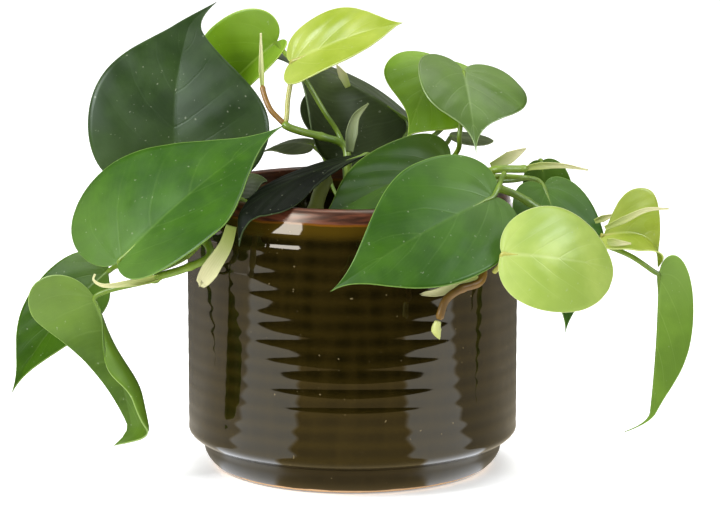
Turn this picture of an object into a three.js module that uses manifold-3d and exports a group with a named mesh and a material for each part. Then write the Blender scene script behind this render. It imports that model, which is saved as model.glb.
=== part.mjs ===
// A potted heartleaf philodendron: a ringed stoneware pot, its soil, trailing vines, leaves and sheaths.
// Millimetres, +Z up. The origin is the centre of the pot's flat base, and the plant's front faces -Y.
import * as THREE from 'three';
import { mergeVertices } from 'three/addons/utils/BufferGeometryUtils.js';
import Module from 'manifold-3d';

const wasm = await Module();
wasm.setup();

// Driving dimensions of the pot
const POT_RADIUS = 72.5;
const POT_HEIGHT = 123.5;
const WALL = 11;
const FLOOR = 9;
const FOOT_HEIGHT = 11.5;
const FOOT_RADIUS = 65.7;
const BASE_RADIUS = 57;
const BODY_START = 17.2;
const RINGS_END = 106;
const RING_COUNT = 13;
const RING_DEPTH = 0.4;
const POT_SIDES = 48;

// The soil fills the pot to a little under its rim
const GAP = 0.35;
const SOIL_TOP = 100;
const SOIL_SIDES = 32;
const HOLE_FLOOR = 80;

// Blades and stems
const BLADE_THICKNESS = 0.8;
const LOBE_ROWS = 5;
const SIDE_ROWS = 8;
const BLADE_COLUMNS = 2;
const HOOK_START = 0.86;
const PETIOLE_RADIUS = 1.1;
const VINE_RADIUS = 1.7;
const STALK_SIDES = 6;
const TIP_RADIUS = 0.3;

// Colours of the finishes
const GLAZE = '#2e2a18';
const SOIL = '#3a2c20';
const DARK = '#2f4a28';
const DEEP = '#1e2c17';
const MID = '#4f8a2c';
const BRIGHT = '#6aa82c';
const YOUNG = '#b4cc3a';
const OLIVE = '#7d8a55';
const STEM = '#5f8a2f';
const BROWN = '#8a6a34';
const PALE = '#c9d08a';
const OLD_STEM = '#98a64c';

const part = new THREE.Group();

function vector(point) {
  return new THREE.Vector3(...point);
}

function mix(a, b, share) {
  return a + (b - a) * share;
}

// One closed mesh: shared vertices merged, flat triangles dropped, faces turned outwards
function closed(geometry) {
  for (const name of Object.keys(geometry.attributes)) {
    if (name !== 'position') geometry.deleteAttribute(name);
  }
  const merged = mergeVertices(geometry, 1e-3);
  const corners = Array.from(merged.index.array);
  const kept = [];
  for (let i = 0; i < corners.length; i += 3) {
    const [a, b, c] = corners.slice(i, i + 3);
    if (a !== b && b !== c && c !== a) kept.push(a, b, c);
  }
  merged.setIndex(kept);
  if (signedVolume(merged) < 0) {
    for (let i = 0; i < kept.length; i += 3) {
      [kept[i], kept[i + 1]] = [kept[i + 1], kept[i]];
    }
    merged.setIndex(kept);
  }
  return merged;
}

function signedVolume(geometry) {
  const corners = geometry.index.array;
  const at = (i) => new THREE.Vector3().fromBufferAttribute(geometry.attributes.position, corners[i]);
  let volume = 0;
  for (let i = 0; i < corners.length; i += 3) {
    volume += at(i).dot(at(i + 1).cross(at(i + 2))) / 6;
  }
  return volume;
}

function toSolid(geometry) {
  const mesh = closed(geometry);
  const vertProperties = new Float32Array(mesh.attributes.position.array);
  const triVerts = new Uint32Array(mesh.index.array);
  return new wasm.Manifold(new wasm.Mesh({ numProp: 3, vertProperties, triVerts }));
}

function toGeometry(solid) {
  const mesh = solid.getMesh();
  const geometry = new THREE.BufferGeometry();
  geometry.setAttribute('position', new THREE.BufferAttribute(new Float32Array(mesh.vertProperties), 3));
  geometry.setIndex(Array.from(mesh.triVerts));
  return geometry;
}

function add(name, geometry, colour, roughness = 0.45) {
  const material = new THREE.MeshStandardMaterial({ color: colour, roughness, metalness: 0 });
  const mesh = new THREE.Mesh(closed(geometry), material);
  mesh.name = name;
  part.add(mesh);
}

// The pot's section: up the outside from the middle of the base, over the lip and down inside
function potProfile() {
  const profile = [
    [0, 0],
    [BASE_RADIUS, 0],
    [BASE_RADIUS + 3, 1],
    [FOOT_RADIUS - 2.7, 3.5],
    [FOOT_RADIUS, 8.4],
    [FOOT_RADIUS, FOOT_HEIGHT],
    [POT_RADIUS - 2, BODY_START - 3],
    [POT_RADIUS, BODY_START],
  ];
  const pitch = (RINGS_END - BODY_START) / RING_COUNT;
  for (let ring = 0; ring < RING_COUNT; ring += 1) {
    profile.push([POT_RADIUS - RING_DEPTH, BODY_START + (ring + 0.5) * pitch]);
    profile.push([POT_RADIUS, BODY_START + (ring + 1) * pitch]);
  }
  // The shoulder and the thick lip, as steps inwards of the widest radius and down from the top
  const lip = [[0.8, 14.9], [1, 10.6], [3, 5.9], [5, 1.1], [6.8, 0], [10.2, 0.2], [WALL, 2.2]];
  for (const [inwards, down] of lip) {
    profile.push([POT_RADIUS - inwards, POT_HEIGHT - down]);
  }
  profile.push([POT_RADIUS - WALL, FLOOR + 6]);
  profile.push([POT_RADIUS - WALL - 6, FLOOR]);
  profile.push([0, FLOOR]);
  return profile;
}

function turned(profile, sides) {
  const points = profile.map(([radius, height]) => new THREE.Vector2(radius, height));
  return new THREE.LatheGeometry(points, sides).rotateX(Math.PI / 2);
}

function soil(stems) {
  const radius = POT_RADIUS - WALL - GAP;
  const profile = [
    [0, FLOOR + GAP],
    [radius - 6.2, FLOOR + GAP],
    [radius, FLOOR + 6 + GAP],
    [radius, SOIL_TOP - 2],
    [radius * 0.86, SOIL_TOP - 0.6],
    [radius * 0.62, SOIL_TOP],
    [radius * 0.34, SOIL_TOP - 0.8],
    [0, SOIL_TOP + 0.4],
  ];
  let body = toSolid(turned(profile, SOIL_SIDES));
  for (const { path, radius: stemRadius } of stems) {
    const [x, y, z] = path[0];
    const height = SOIL_TOP + 5 - z + GAP;
    const hole = new THREE.CylinderGeometry(stemRadius + GAP, stemRadius + GAP, height, 10)
      .rotateX(Math.PI / 2)
      .translate(x, y, z - GAP + height / 2);
    body = body.subtract(toSolid(hole));
  }
  return toGeometry(body);
}

// A stalk along a smooth path. radiusAt gives its radius from 0, the start, to 1. A face direction
// flattens it: the stalk is then thinner along that direction
function sweep(points, radiusAt, steps, face = null, flatten = 1) {
  const curve = new THREE.CatmullRomCurve3(points.map(vector), false, 'centripetal');
  const frames = curve.computeFrenetFrames(steps);
  const stalk = new THREE.CylinderGeometry(1, 1, 1, STALK_SIDES, steps);
  const position = stalk.attributes.position;
  for (let i = 0; i < position.count; i += 1) {
    const step = Math.round((position.getY(i) + 0.5) * steps);
    const share = step / steps;
    const radius = radiusAt(share);
    const ahead = frames.tangents[step];
    const thin = face ? vector(face) : frames.normals[step].clone();
    thin.addScaledVector(ahead, -thin.dot(ahead)).normalize();
    const place = curve.getPointAt(share);
    place.addScaledVector(thin, position.getX(i) * radius * flatten);
    place.addScaledVector(ahead.clone().cross(thin), position.getZ(i) * radius);
    position.setXYZ(i, place.x, place.y, place.z);
  }
  return stalk;
}

// Half of a heart's margin, as lengths along the midrib and shares of the half's width: the lobe
// behind the petiole, then the side that narrows to the drip tip
function margin({ lobe, widest = 0.16, full, tail, point = 0.06 }, row) {
  const back = [[0, 0], [-1.15 * lobe, 0.1], [-1.25 * lobe, 0.95], [widest, 1]];
  const side = [[widest, 1], [full, 1.04], [tail, point], [1, 0]];
  const onLobe = row <= LOBE_ROWS;
  const share = onLobe ? row / LOBE_ROWS : (row - LOBE_ROWS) / SIDE_ROWS;
  const controls = (onLobe ? back : side).map(([x, y]) => new THREE.Vector2(x, y));
  const curve = new THREE.CubicBezierCurve(...controls);
  return curve.getPoint(share);
}

// Where the cross-line of a row leaves the midrib: all those of the lobe fan out from the petiole
function foot(row) {
  return Math.max(0, (row - LOBE_ROWS) / SIDE_ROWS) ** 1.2;
}

// The bent sheet that a blade follows: from a place on the flat heart to a place and a normal in space
function bladeSheet(leaf) {
  const base = vector(leaf.base);
  const tip = vector(leaf.tip);
  const bend = base.clone().lerp(tip, 0.5).addScaledVector(vector(leaf.arch), 2);
  const midrib = new THREE.QuadraticBezierCurve3(base, bend, tip);
  const start = bend.clone().sub(base).multiplyScalar(2);
  const radians = THREE.MathUtils.degToRad;
  const surface = (along, across) => {
    const inside = Math.min(Math.max(along, 0), 1);
    const place = along < 0 ? base.clone().addScaledVector(start, along) : midrib.getPoint(inside);
    const hooked = Math.max(0, (along - HOOK_START) / (1 - HOOK_START)) ** 2;
    place.addScaledVector(vector(leaf.hook ?? [0, 0, 0]), hooked);
    const ahead = midrib.getTangent(inside);
    const right = vector(leaf.right);
    right.addScaledVector(ahead, -right.dot(ahead)).normalize();
    const up = right.clone().cross(ahead);
    const side = across < 0 ? 0 : 1;
    const reach = Math.abs(across) * leaf.width[side];
    const eased = THREE.MathUtils.smoothstep(inside, 0.15, 0.65);
    const first = radians(mix(leaf.fold[side], (leaf.foldTip ?? leaf.fold)[side], eased));
    const turn = radians(leaf.roll[side]) / leaf.width[side];
    const last = first + turn * reach;
    const flat = Math.abs(turn) < 1e-6;
    const out = flat ? reach * Math.cos(first) : (Math.sin(last) - Math.sin(first)) / turn;
    const rise = flat ? reach * Math.sin(first) : (Math.cos(first) - Math.cos(last)) / turn;
    place.addScaledVector(right, out * Math.sign(across));
    return place.addScaledVector(up, rise);
  };
  const normal = (along, across) => {
    const small = 1e-3;
    const ahead = surface(along + small, across).sub(surface(along - small, across));
    const right = surface(along, across + small).sub(surface(along, across - small));
    return right.cross(ahead).normalize();
  };
  return { surface, normal };
}

// A blade as a thin solid: cross-lines from the midrib to the margin, split alike on both faces
function blade(leaf) {
  const { surface, normal } = bladeSheet(leaf);
  const rows = LOBE_ROWS + SIDE_ROWS;
  const columns = leaf.columns ?? BLADE_COLUMNS;
  const corners = [];
  const corner = (side, row, column, face) => {
    const share = column / columns;
    const edge = margin(leaf.shape[side < 0 ? 0 : 1], row);
    const along = mix(foot(row), edge.x, share);
    const across = side * edge.y * share;
    const place = surface(along, across);
    return place.addScaledVector(normal(along, across), face * BLADE_THICKNESS / 2);
  };
  const triangle = (turn, ...places) => {
    const ordered = turn > 0 ? places : places.reverse();
    for (const place of ordered) corners.push(place.x, place.y, place.z);
  };
  for (const side of [-1, 1]) {
    for (let row = 0; row < rows; row += 1) {
      for (let column = 0; column < columns; column += 1) {
        for (const face of [-1, 1]) {
          const a = corner(side, row, column, face);
          const b = corner(side, row, column + 1, face);
          const c = corner(side, row + 1, column + 1, face);
          const d = corner(side, row + 1, column, face);
          triangle(side * face, a, b, c);
          triangle(side * face, a, c, d);
        }
      }
      const low = corner(side, row, columns, -1);
      const high = corner(side, row, columns, 1);
      const nextHigh = corner(side, row + 1, columns, 1);
      const nextLow = corner(side, row + 1, columns, -1);
      triangle(side, low, nextLow, nextHigh);
      triangle(side, low, nextHigh, high);
    }
  }
  const geometry = new THREE.BufferGeometry();
  geometry.setAttribute('position', new THREE.BufferAttribute(new Float32Array(corners), 3));
  return geometry;
}

// A leaf is its blade joined to its petiole, which runs from inside the blade's base to the vine
function leafSolid(leaf) {
  const { surface } = bladeSheet(leaf);
  const inside = surface(0.05, 0);
  const points = [inside.toArray(), leaf.base, ...leaf.petiole];
  const thick = leaf.stalk ?? PETIOLE_RADIUS;
  const petiole = sweep(points, (share) => mix(thick * 0.8, thick, share), 3 + leaf.petiole.length);
  return toGeometry(toSolid(blade(leaf)).add(toSolid(petiole)));
}

const HEART = { lobe: 0.11, widest: 0.25, full: 0.6, tail: 0.76 };
const BROAD = { lobe: 0.24, full: 0.66, tail: 0.7, point: 0.22 };
const TAILED = { lobe: 0.22, full: 0.72, tail: 0.52, point: 0.04 };
const SHORT = { lobe: 0.05, widest: 0.32, full: 0.7, tail: 0.8, point: 0.1 };
const ROUND = { lobe: 0.05, widest: 0.4, full: 0.72, tail: 0.96, point: 0.45 };

// Each leaf: where its blade begins and ends, the midrib's arch off the straight line between them, the
// direction of its right half, the half-widths, and how far each half folds up and rolls, in degrees
const leaves = {
  leaf_big_dark: {
    colour: DARK, base: [-77.4, 4, 134.7], tip: [-69.5, 24, 199.8], arch: [-4, -4, 0], right: [1, 0.05, 0],
    width: [37.5, 42], fold: [8, 8], roll: [-8, -8], shape: [{ ...BROAD, lobe: 0.16, widest: 0.2 }, BROAD],
    hook: [9.7, 0, 2.6], petiole: [[-76, 5, 129], [-68, 3, 128], [-56, 0, 125], [-46, -12, 121]],
  },
  leaf_left_front: {
    colour: MID, base: [-99, -48, 98.4], tip: [-29.2, -24, 153.8], arch: [-1.7, -4, 2.9],
    right: [0.3, -0.86, -0.42], width: [46, 34], fold: [14, 0], roll: [-8, 4],
    shape: [
      { lobe: 0.14, widest: 0.16, full: 0.54, tail: 0.7 },
      { lobe: 0.05, widest: 0.41, full: 0.57, tail: 0.78, point: -0.05 },
    ],
    petiole: [[-94, -44, 94.5], [-85.6, -44, 93.7], [-71, -44.5, 99.7], [-64.5, -42.5, 105.5]],
  },
  leaf_back_bright: {
    colour: BRIGHT, base: [-34.3, 32, 183.3], tip: [-74.9, 46, 141.1], arch: [-1, 2, 1],
    right: [-0.7, -0.1, 0.7], width: [20, 24], fold: [75, 0], roll: [10, -8],
    shape: [{ ...HEART, lobe: 0.16 }, { ...HEART, lobe: 0.17 }],
    petiole: [[-30.8, 22, 180.8], [-27, 12, 177.9], [-23, 7.5, 173.1], [-19.5, 6.5, 168], [-12, 6.5, 155.2],
      [-7, 8.5, 147.3]],
  },
  leaf_top_young: {
    colour: YOUNG, base: [-26.4, 4, 177.9], tip: [21.7, -10, 196.4], arch: [2, -5, 3],
    right: [0.3, -0.7, -0.65], width: [16.5, 15], fold: [10, 10], roll: [-10, 10],
    shape: [{ ...SHORT, full: 0.62 }, { ...SHORT, lobe: 0.07, widest: 0.1, full: 0.78 }],
    petiole: [[-26.9, 9, 170], [-28.3, 7, 161], [-28.8, 4.5, 153.4]],
  },
  leaf_deep_top: {
    colour: DEEP, base: [24.2, 28, 149.1], tip: [-57.6, 46, 179.5], arch: [2, -3, 7],
    right: [0.1, 0.98, 0], width: [36, 22], fold: [-75, 0], foldTip: [0, 0], roll: [0, 0],
    shape: [{ lobe: 0.1, widest: 0.25, full: 0.5, tail: 0.55, point: 0.03 }, HEART],
    petiole: [[25, 26, 145], [23, 19, 142.3]],
  },
  leaf_deep_behind: {
    colour: DEEP, base: [-9.4, 60, 157.8], tip: [14.6, 58, 130.6], arch: [0, 0, 0],
    right: [-0.75, 0, -0.66], width: [14, 19.7], fold: [0, 0], roll: [-10, -10], shape: [HEART, BROAD],
    petiole: [[-9.8, 63.6, 156.6], [-8.4, 65, 150], [-5, 54, 137], [-3, 30, 120], [-2.4, 7, 113]],
  },
  leaf_right_bright: {
    colour: BRIGHT, base: [38.8, 26, 175.5], tip: [23.9, 2, 145.2], arch: [0, 0, 3],
    right: [-0.9, 0.2, 0.05], width: [27, 22.5], fold: [5, 5], roll: [-10, -15],
    shape: [
      { lobe: 0.1, widest: 0.55, full: 0.9, tail: 0.86, point: 0.2 },
      { lobe: 0.12, widest: 0.2, full: 0.6, tail: 0.6 },
    ],
    petiole: [[42, 31, 168], [44, 27, 152], [34, 20, 142], [26, 16, 140]],
  },
  leaf_grey_heart: {
    colour: DARK, base: [48.6, 8, 173.1], tip: [53.3, -26, 141.1], arch: [0, -3, 3],
    right: [-0.95, 0, 0.3], width: [28, 22], fold: [8, 8], roll: [-20, -10], shape: [TAILED, TAILED],
    columns: 3,
    petiole: [[48.5, 7.5, 166], [47.5, -2.5, 156], [46.5, -8, 147], [46, -3, 140], [36, 5, 128],
      [20, 9, 119]],
  },
  leaf_olive_small: {
    colour: OLIVE, base: [43.5, 16, 143.6], tip: [62.7, 22, 140.6], arch: [0, 0, 0],
    right: [0.1, -0.8, -0.6], width: [4, 4], fold: [0, 0], roll: [-10, -10], shape: [ROUND, ROUND],
    petiole: [[42, 16, 141], [34, 14, 134], [24, 10.5, 126]],
  },
  leaf_inside_rim: {
    colour: MID, base: [40.2, -8, 134.2], tip: [-16, -44, 113], arch: [0, 0, 3],
    right: [0, 0.5, 0.86], width: [16, 17], fold: [30, 5], roll: [0, -10],
    shape: [HEART, { ...BROAD, lobe: 0.1, full: 0.8 }],
    petiole: [[40, -2, 129], [30, 6, 121], [19, 8, 116]],
  },
  leaf_front: {
    colour: MID, base: [59, -58, 127.8], tip: [-8.8, -90, 93.5], arch: [0, -6, 3],
    right: [-0.44, 0.5, 0.745], width: [28, 28.5], fold: [6, 6], roll: [-6, -10],
    shape: [{ ...HEART, lobe: 0.07, widest: 0.28, full: 0.72 }, { ...HEART, full: 0.54 }],
    petiole: [[61.5, -55, 131.5], [63, -44, 133], [65, -31.5, 134]],
  },
  leaf_right_green: {
    colour: DARK, base: [82.8, -22, 126.1], tip: [90.5, -52, 68.8], arch: [4, -4, 0],
    right: [-0.9, -0.4, 0], width: [20, 21], fold: [10, 10], roll: [-10, -10],
    shape: [{ ...HEART, lobe: 0.09, widest: 0.3 }, { ...HEART, lobe: 0.07 }],
    petiole: [[80, -18, 129], [72, -20, 130.6], [62, -17, 130.5], [54, -13, 129]],
  },
  leaf_right_shadow: {
    colour: DEEP, base: [82.5, -4, 135], tip: [88.5, -8, 96.7], arch: [0, 0, 0],
    right: [-0.9, 0.2, -0.3], width: [12, 10], fold: [5, 5], roll: [0, 0],
    shape: [SHORT, SHORT],
    petiole: [[82, -1.2, 135], [80.5, 0.5, 129.5], [74, -4, 127.5], [60, -9, 127]],
  },
  leaf_round_young: {
    colour: YOUNG, base: [62.2, -84, 108.1], tip: [109.1, -66, 98.6], arch: [2, -8, 2.5],
    right: [0, -0.4, -0.9], width: [23, 22.5], fold: [0, 0], roll: [-15, -20], columns: 3,
    shape: [ROUND, { ...ROUND, full: 0.8, tail: 1 }],
    petiole: [[61.5, -82, 103.5], [58.8, -78, 99.5]],
  },
  leaf_unfolding: {
    colour: YOUNG, base: [107.6, -36, 107.6], tip: [130.9, -36, 93.8], arch: [6.2, -1, 6.4],
    right: [0.1, -0.2, -1], width: [20, 14], fold: [0, 60], foldTip: [0, 50], roll: [0, 0],
    shape: [
      { lobe: -0.1, widest: 0.34, full: 0.5, tail: 0.44, point: 0.02 },
      { lobe: 0.11, widest: 0.2, full: 0.45, tail: 0.85, point: 0.3 },
    ],
    petiole: [[106.2, -36.7, 108]],
  },
  leaf_hanging_right: {
    colour: MID, base: [131, -39, 91.4], tip: [127, -43, 22.4], arch: [1, 0, 0],
    right: [1, 0.1, 0], width: [20, 15.5], fold: [150, 0], roll: [0, 0],
    shape: [HEART, { ...BROAD, lobe: 0.16, widest: 0.24 }],
    hook: [-10, 0, 1],
    petiole: [[129, -38.7, 92.6], [119.3, -38, 99.1], [110, -37.5, 103], [105, -38, 104.6]],
  },
  leaf_twisted_left: {
    colour: MID, base: [-109.7, -46, 82.5], tip: [-94, -40, 18.5], arch: [2, 0, 0],
    right: [-1, 0, 0.1], width: [23, 28], fold: [65, 5], foldTip: [12, 5], roll: [125, -10],
    columns: 4,
    shape: [
      { lobe: -0.22, widest: 0.5, full: 0.9, tail: 0.96, point: 0.55 },
      { lobe: 0.25, widest: -0.06, full: 0.1, tail: 0.24, point: 0.36 },
    ],
    hook: [-9, 0, -2], petiole: [[-106, -46.5, 85], [-89, -48, 89.5], [-83, -48.5, 91]],
  },
  leaf_left_behind: {
    colour: DARK, base: [-108, 4, 84.8], tip: [-150.2, -8, 32.8], arch: [-3, 0, 2.4],
    right: [-0.72, 0.35, 0.6], width: [20, 19], fold: [35, 5], roll: [0, -10],
    shape: [{ ...HEART, lobe: -0.03 }, { lobe: 0.06, widest: 0.25, full: 0.7, tail: 0.73, point: 0.12 }],
    petiole: [[-104, 0, 88], [-96, -20, 88], [-88, -36, 88.5], [-83.5, -43.5, 89.5]],
  },
  leaf_rim_dark: {
    colour: DEEP, base: [6.8, -14, 139.7], tip: [-49.8, -67, 118.2], arch: [-7.5, -5, 2.2],
    right: [-0.45, 0.87, 0.2], width: [15.5, 17], fold: [6, -16], roll: [-32, -5], columns: 3,
    hook: [2.8, -3, -9.3],
    shape: [{ lobe: -0.3, widest: 0.62, full: 0.85, tail: 0.9, point: 0.35 }, { ...HEART, lobe: 0.02 }],
    petiole: [[9, -10, 135], [7, -4, 128], [1.5, 0, 120]],
  },
  leaf_inner_striped: {
    colour: DEEP, base: [-52.4, -14, 122.6], tip: [-37.2, -6, 126.6], arch: [0, 0, 2],
    right: [0.2, -0.6, -0.5], width: [6, 7], fold: [0, 0], roll: [-10, -10], shape: [ROUND, HEART],
    petiole: [[-52, -10, 120], [-43, -6, 112.5], [-32, -5, 106]],
  },
  leaf_back_thin: {
    colour: OLIVE, base: [-18.7, 34, 137.5], tip: [-40.9, 40, 133], arch: [0, 0, 2],
    right: [0.25, 0.95, 0.1], width: [9, 9], fold: [-20, 0], roll: [0, 0], shape: [HEART, HEART],
    petiole: [[-17.3, 33, 136.4], [-13, 26, 132.9], [-9, 12, 122], [-4.4, 4, 114]], stalk: 0.8,
  },
};

for (const [name, leaf] of Object.entries(leaves)) {
  add(name, leafSolid(leaf), leaf.colour);
}

// A vine with a root runs straight up its hole in the soil first
function rooted(x, y) {
  return [HOLE_FLOOR, SOIL_TOP - 10, SOIL_TOP, SOIL_TOP + 6].map((z) => [x, y, z]);
}

const vines = {
  vine_middle: {
    radius: VINE_RADIUS, colour: STEM,
    path: [...rooted(-2, 2), [-2, 3, 131.5], [-3.7, 6, 141], [-12, 5, 144.5], [-21.7, 4, 147.1],
      [-28, 3, 149.4]],
  },
  vine_left: {
    radius: VINE_RADIUS, colour: STEM,
    path: [...rooted(-26, -12), [-38, -18, 114], [-51, -25, 122.5], [-60, -30, 126], [-66.5, -37, 121],
      [-64, -46, 111], [-60, -53.5, 102.5], [-70.5, -52, 96.5], [-80.5, -49.5, 93]],
  },
  vine_right: {
    radius: VINE_RADIUS, colour: STEM,
    path: [...rooted(24, -6), [36, -10, 115], [48, -14, 125], [57, -21, 132], [62, -27, 135],
      [72.8, -26, 135.1]],
  },
  vine_far_right: {
    radius: VINE_RADIUS, colour: STEM,
    path: [...rooted(34, -22), [47.5, -28.5, 122.2], [60, -35, 128], [68, -38, 126.5], [86, -40, 116],
      [98, -39, 110], [103.2, -38, 108.6]],
  },
  vine_front: {
    radius: VINE_RADIUS, colour: BROWN,
    path: [...rooted(16, -28), [28, -44, 121], [37, -56.5, 126.5], [44.5, -64, 121], [51, -70, 109],
      [54.5, -75, 100.5], [53, -79, 95.5], [44.7, -82, 93], [38.8, -84, 88.8], [35.9, -86, 81]],
  },
  shoot_upper_left: {
    radius: 1.2, colour: BROWN,
    path: [[-30.2, 4.1, 151.2], [-32.2, 4.8, 152.8], [-36.1, 6, 157], [-39.3, 9, 165]],
  },
  vine_centre: {
    radius: VINE_RADIUS, colour: STEM,
    path: [...rooted(12, 8), [16, 11, 128], [22, 14, 139.5]],
  },
  stem_thick: {
    radius: 3.2, colour: OLD_STEM,
    path: [...rooted(-17, -26), [-15.7, -21, 118], [-11.5, -9, 129]],
  },
};

for (const [name, vine] of Object.entries(vines)) {
  add(name, sweep(vine.path, () => vine.radius, 2 * vine.path.length), vine.colour);
}

// Sheaths are the pale pointed scales that wrapped the young leaves. Each is flattened along its face
// direction and widest at a share of its length
const sheaths = {
  sheath_upper_left: {
    path: [[-39.5, 9.2, 165.8], [-40, 11, 175], [-40.2, 14, 189.6]],
    width: 2.2, widest: 0.3, face: [0, 1, 0], flatten: 0.7,
  },
  sheath_behind_top: {
    path: [[-2, 24, 164.5], [-4, 24, 169], [-7, 23, 174.5]],
    width: 3.8, widest: 0.5, face: [0, 1, 0], flatten: 0.25,
  },
  sheath_middle: {
    path: [[-1.2, -1, 139], [-0.6, -1, 145], [1.5, 1, 154], [7, 2, 160]],
    width: 4.6, widest: 0.3, face: [0, 1, 0], flatten: 0.3,
  },
  sheath_right_wide: {
    path: [[60, -15, 134.6], [67.4, -13, 138], [75.3, -11, 141.9]],
    width: 5.4, widest: 0.5, face: [0.2, 1, 0.2], flatten: 0.2,
  },
  sheath_right_long: {
    path: [[73.6, -26, 135.2], [80, -26, 136.4], [90, -25, 136.4], [101.3, -24, 134.4]],
    width: 3, widest: 0.25, face: [0, 1, 0], flatten: 0.5,
  },
  sheath_far_right: {
    path: [[107.5, -42, 112], [115.2, -42.5, 115.6], [125.1, -42.5, 120], [134.5, -42, 120.4]],
    width: 3, widest: 0.3, face: [0, 1, 0], flatten: 0.4,
  },
  sheath_far_pale: {
    path: [[104, -30, 113], [109, -31, 115], [112.5, -32, 116.3]],
    width: 2.8, widest: 0.4, face: [0, 1, 0], flatten: 0.5,
  },
  sheath_far_low: {
    path: [[108, -48, 107.4], [112.6, -48.5, 106.8], [118.1, -49, 106.5]],
    width: 3.4, widest: 0.2, face: [0, 1, 0], flatten: 0.4,
  },
  sheath_left_curled: {
    path: [[-82, -51, 92.5], [-95, -52, 90], [-106, -52, 89.2], [-109.6, -51, 91.4], [-109, -50, 93.6]],
    width: 3.4, widest: 0.15, face: [0, 1, 0], flatten: 0.6,
  },
  sheath_left_hanging: {
    path: [[-50.5, -60.5, 116], [-53, -62.5, 108], [-58, -64, 100], [-63.5, -64, 91.5]],
    width: 6, widest: 0.6, face: [0.3, 1, 0], flatten: 0.18,
  },
  sheath_front_ragged: {
    path: [[53.5, -73.5, 96], [46, -74.5, 94.2], [36, -77, 90.9], [29, -78, 90.2]],
    width: 4.4, widest: 0.4, face: [0, 1, 0], flatten: 0.25,
  },
  bud_front: {
    path: [[35.6, -85.4, 80.4], [34.8, -85.6, 77], [36.2, -85.8, 72.6]],
    width: 4.4, widest: 0.5, face: [0, 1, 0], flatten: 0.9,
  },
};

for (const [name, { path, width, widest, face, flatten }] of Object.entries(sheaths)) {
  const radiusAt = (share) => {
    const rising = mix(0.6, 1, Math.min(1, share / widest));
    const falling = Math.min(1, (1 - share) / (1 - widest)) ** 0.7;
    return Math.max(TIP_RADIUS, rising * falling * width / 2);
  };
  add(name, sweep(path, radiusAt, 2 * path.length, face, flatten), name === 'bud_front' ? YOUNG : PALE);
}

add('pot', turned(potProfile(), POT_SIDES), GLAZE, 0.15);
add('soil', soil(Object.values(vines).filter(({ path }) => path[0][2] === HOLE_FLOOR)), SOIL, 0.95);

export default part;
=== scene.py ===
# A potted heartleaf philodendron: finer leaves, stems, sheaths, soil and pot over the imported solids.
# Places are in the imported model's frame, +Z up, with the plant's front towards -Y. Sizes are in
# millimetres here and turned to metres as each mesh is made.
import math

import bmesh
import bpy
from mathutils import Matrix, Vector, noise


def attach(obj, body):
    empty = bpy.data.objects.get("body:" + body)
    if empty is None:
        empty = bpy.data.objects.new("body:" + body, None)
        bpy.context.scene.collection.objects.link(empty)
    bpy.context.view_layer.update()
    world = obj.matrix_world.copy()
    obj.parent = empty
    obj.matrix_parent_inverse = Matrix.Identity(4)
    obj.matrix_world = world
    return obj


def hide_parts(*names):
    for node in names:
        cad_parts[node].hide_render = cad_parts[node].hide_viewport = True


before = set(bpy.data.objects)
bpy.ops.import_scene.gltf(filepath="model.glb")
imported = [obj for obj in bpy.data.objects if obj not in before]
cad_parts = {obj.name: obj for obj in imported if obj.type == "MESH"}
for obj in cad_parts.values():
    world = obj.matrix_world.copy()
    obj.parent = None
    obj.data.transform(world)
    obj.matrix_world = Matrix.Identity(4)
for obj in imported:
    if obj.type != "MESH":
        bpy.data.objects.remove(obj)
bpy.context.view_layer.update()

MM = 0.001
# Points closer than this are joined
MERGE = 1e-3

# The photograph's camera: where it stands, what it looks at, and its lens on a 36 mm wide sensor
CAMERA_AT = (3.3, -1335, 325)
CAMERA_AIM = (3.3, 0, 94)
LENS = 154.05
SENSOR = 36

# Pot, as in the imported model
POT_RADIUS = 72.5
POT_HEIGHT = 123.5
WALL = 11
FLOOR = 9
FOOT_HEIGHT = 11.5
FOOT_RADIUS = 65.7
BASE_RADIUS = 57
BODY_START = 17.2
RINGS_END = 106
RING_COUNT = 13
RING_DEPTH = 0.1
LIP_DEPTH = 5.9
POT_SIDES = 256
WAVE_STEPS = 12

# Glaze: where it begins above the table, where it thins over the lip, and how far its lines wander
UNGLAZED_TOP = 1.8
LIP_EDGE = POT_HEIGHT - LIP_DEPTH
GLAZE_RUN = 1.6
GLAZE_ROUGHNESS = 0.045
CLAY_ROUGHNESS = 0.8

# Soil: its gap to the wall, its level, and the height and width of its clods
GAP = 0.35
SOIL_TOP = 100
SOIL_BOTTOM = FLOOR + 7
HOLE_FLOOR = 80
SOIL_RINGS = 60
SOIL_SIDES = 160
CLOD = 1.6
CLOD_WIDTH = 7
EDGE_FALL = 3
EDGE_WIDTH = 6
PERLITE_COUNT = 46
PERLITE_SIZE = 1.3
PERLITE_REACH = 60
GOLDEN_ANGLE = 2.39996

# The margin of a heart's half: where it is widest and how full it stays near the tip, unless a leaf says
# otherwise, and its curves' handles, each in lobe lengths along the leaf and in half-widths across it
WIDEST = 0.16
POINT = 0.06
INNER_HANDLE = (-1.15, 0.1)
OUTER_HANDLE = (-1.25, 0.95)
FULL_HANDLE = 1.04

# Blades: the grid of one blade, and how it departs from the smooth sheet. Its relief is full on leaves
# that are at least FULL_RELIEF long
BLADE_THICKNESS = 0.55
LOBE_SHARE = 5 / 13
FOOT_POWER = 1.2
BLADE_COLUMNS = 18
BLADE_ROWS = 84
BLADE_LAYERS = ("along", "row", "share", "reach", "edge")
HOOK_START = 0.86
FOLD_STARTS = 0.15
FOLD_ENDS = 0.65
VEIN_BEND = 0.12
VEIN_POWER = 1.6
VEIN_COUNT = 7
FINE_VEINS = 6
RIB_AT_BASE = 1.5
RIB_AT_TIP = 0.4
FULL_RELIEF = 60
QUILT = 0.2
RIPPLE = 0.6
RIPPLES_ALONG = 2.6
RIPPLES_ACROSS = 1.8

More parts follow.
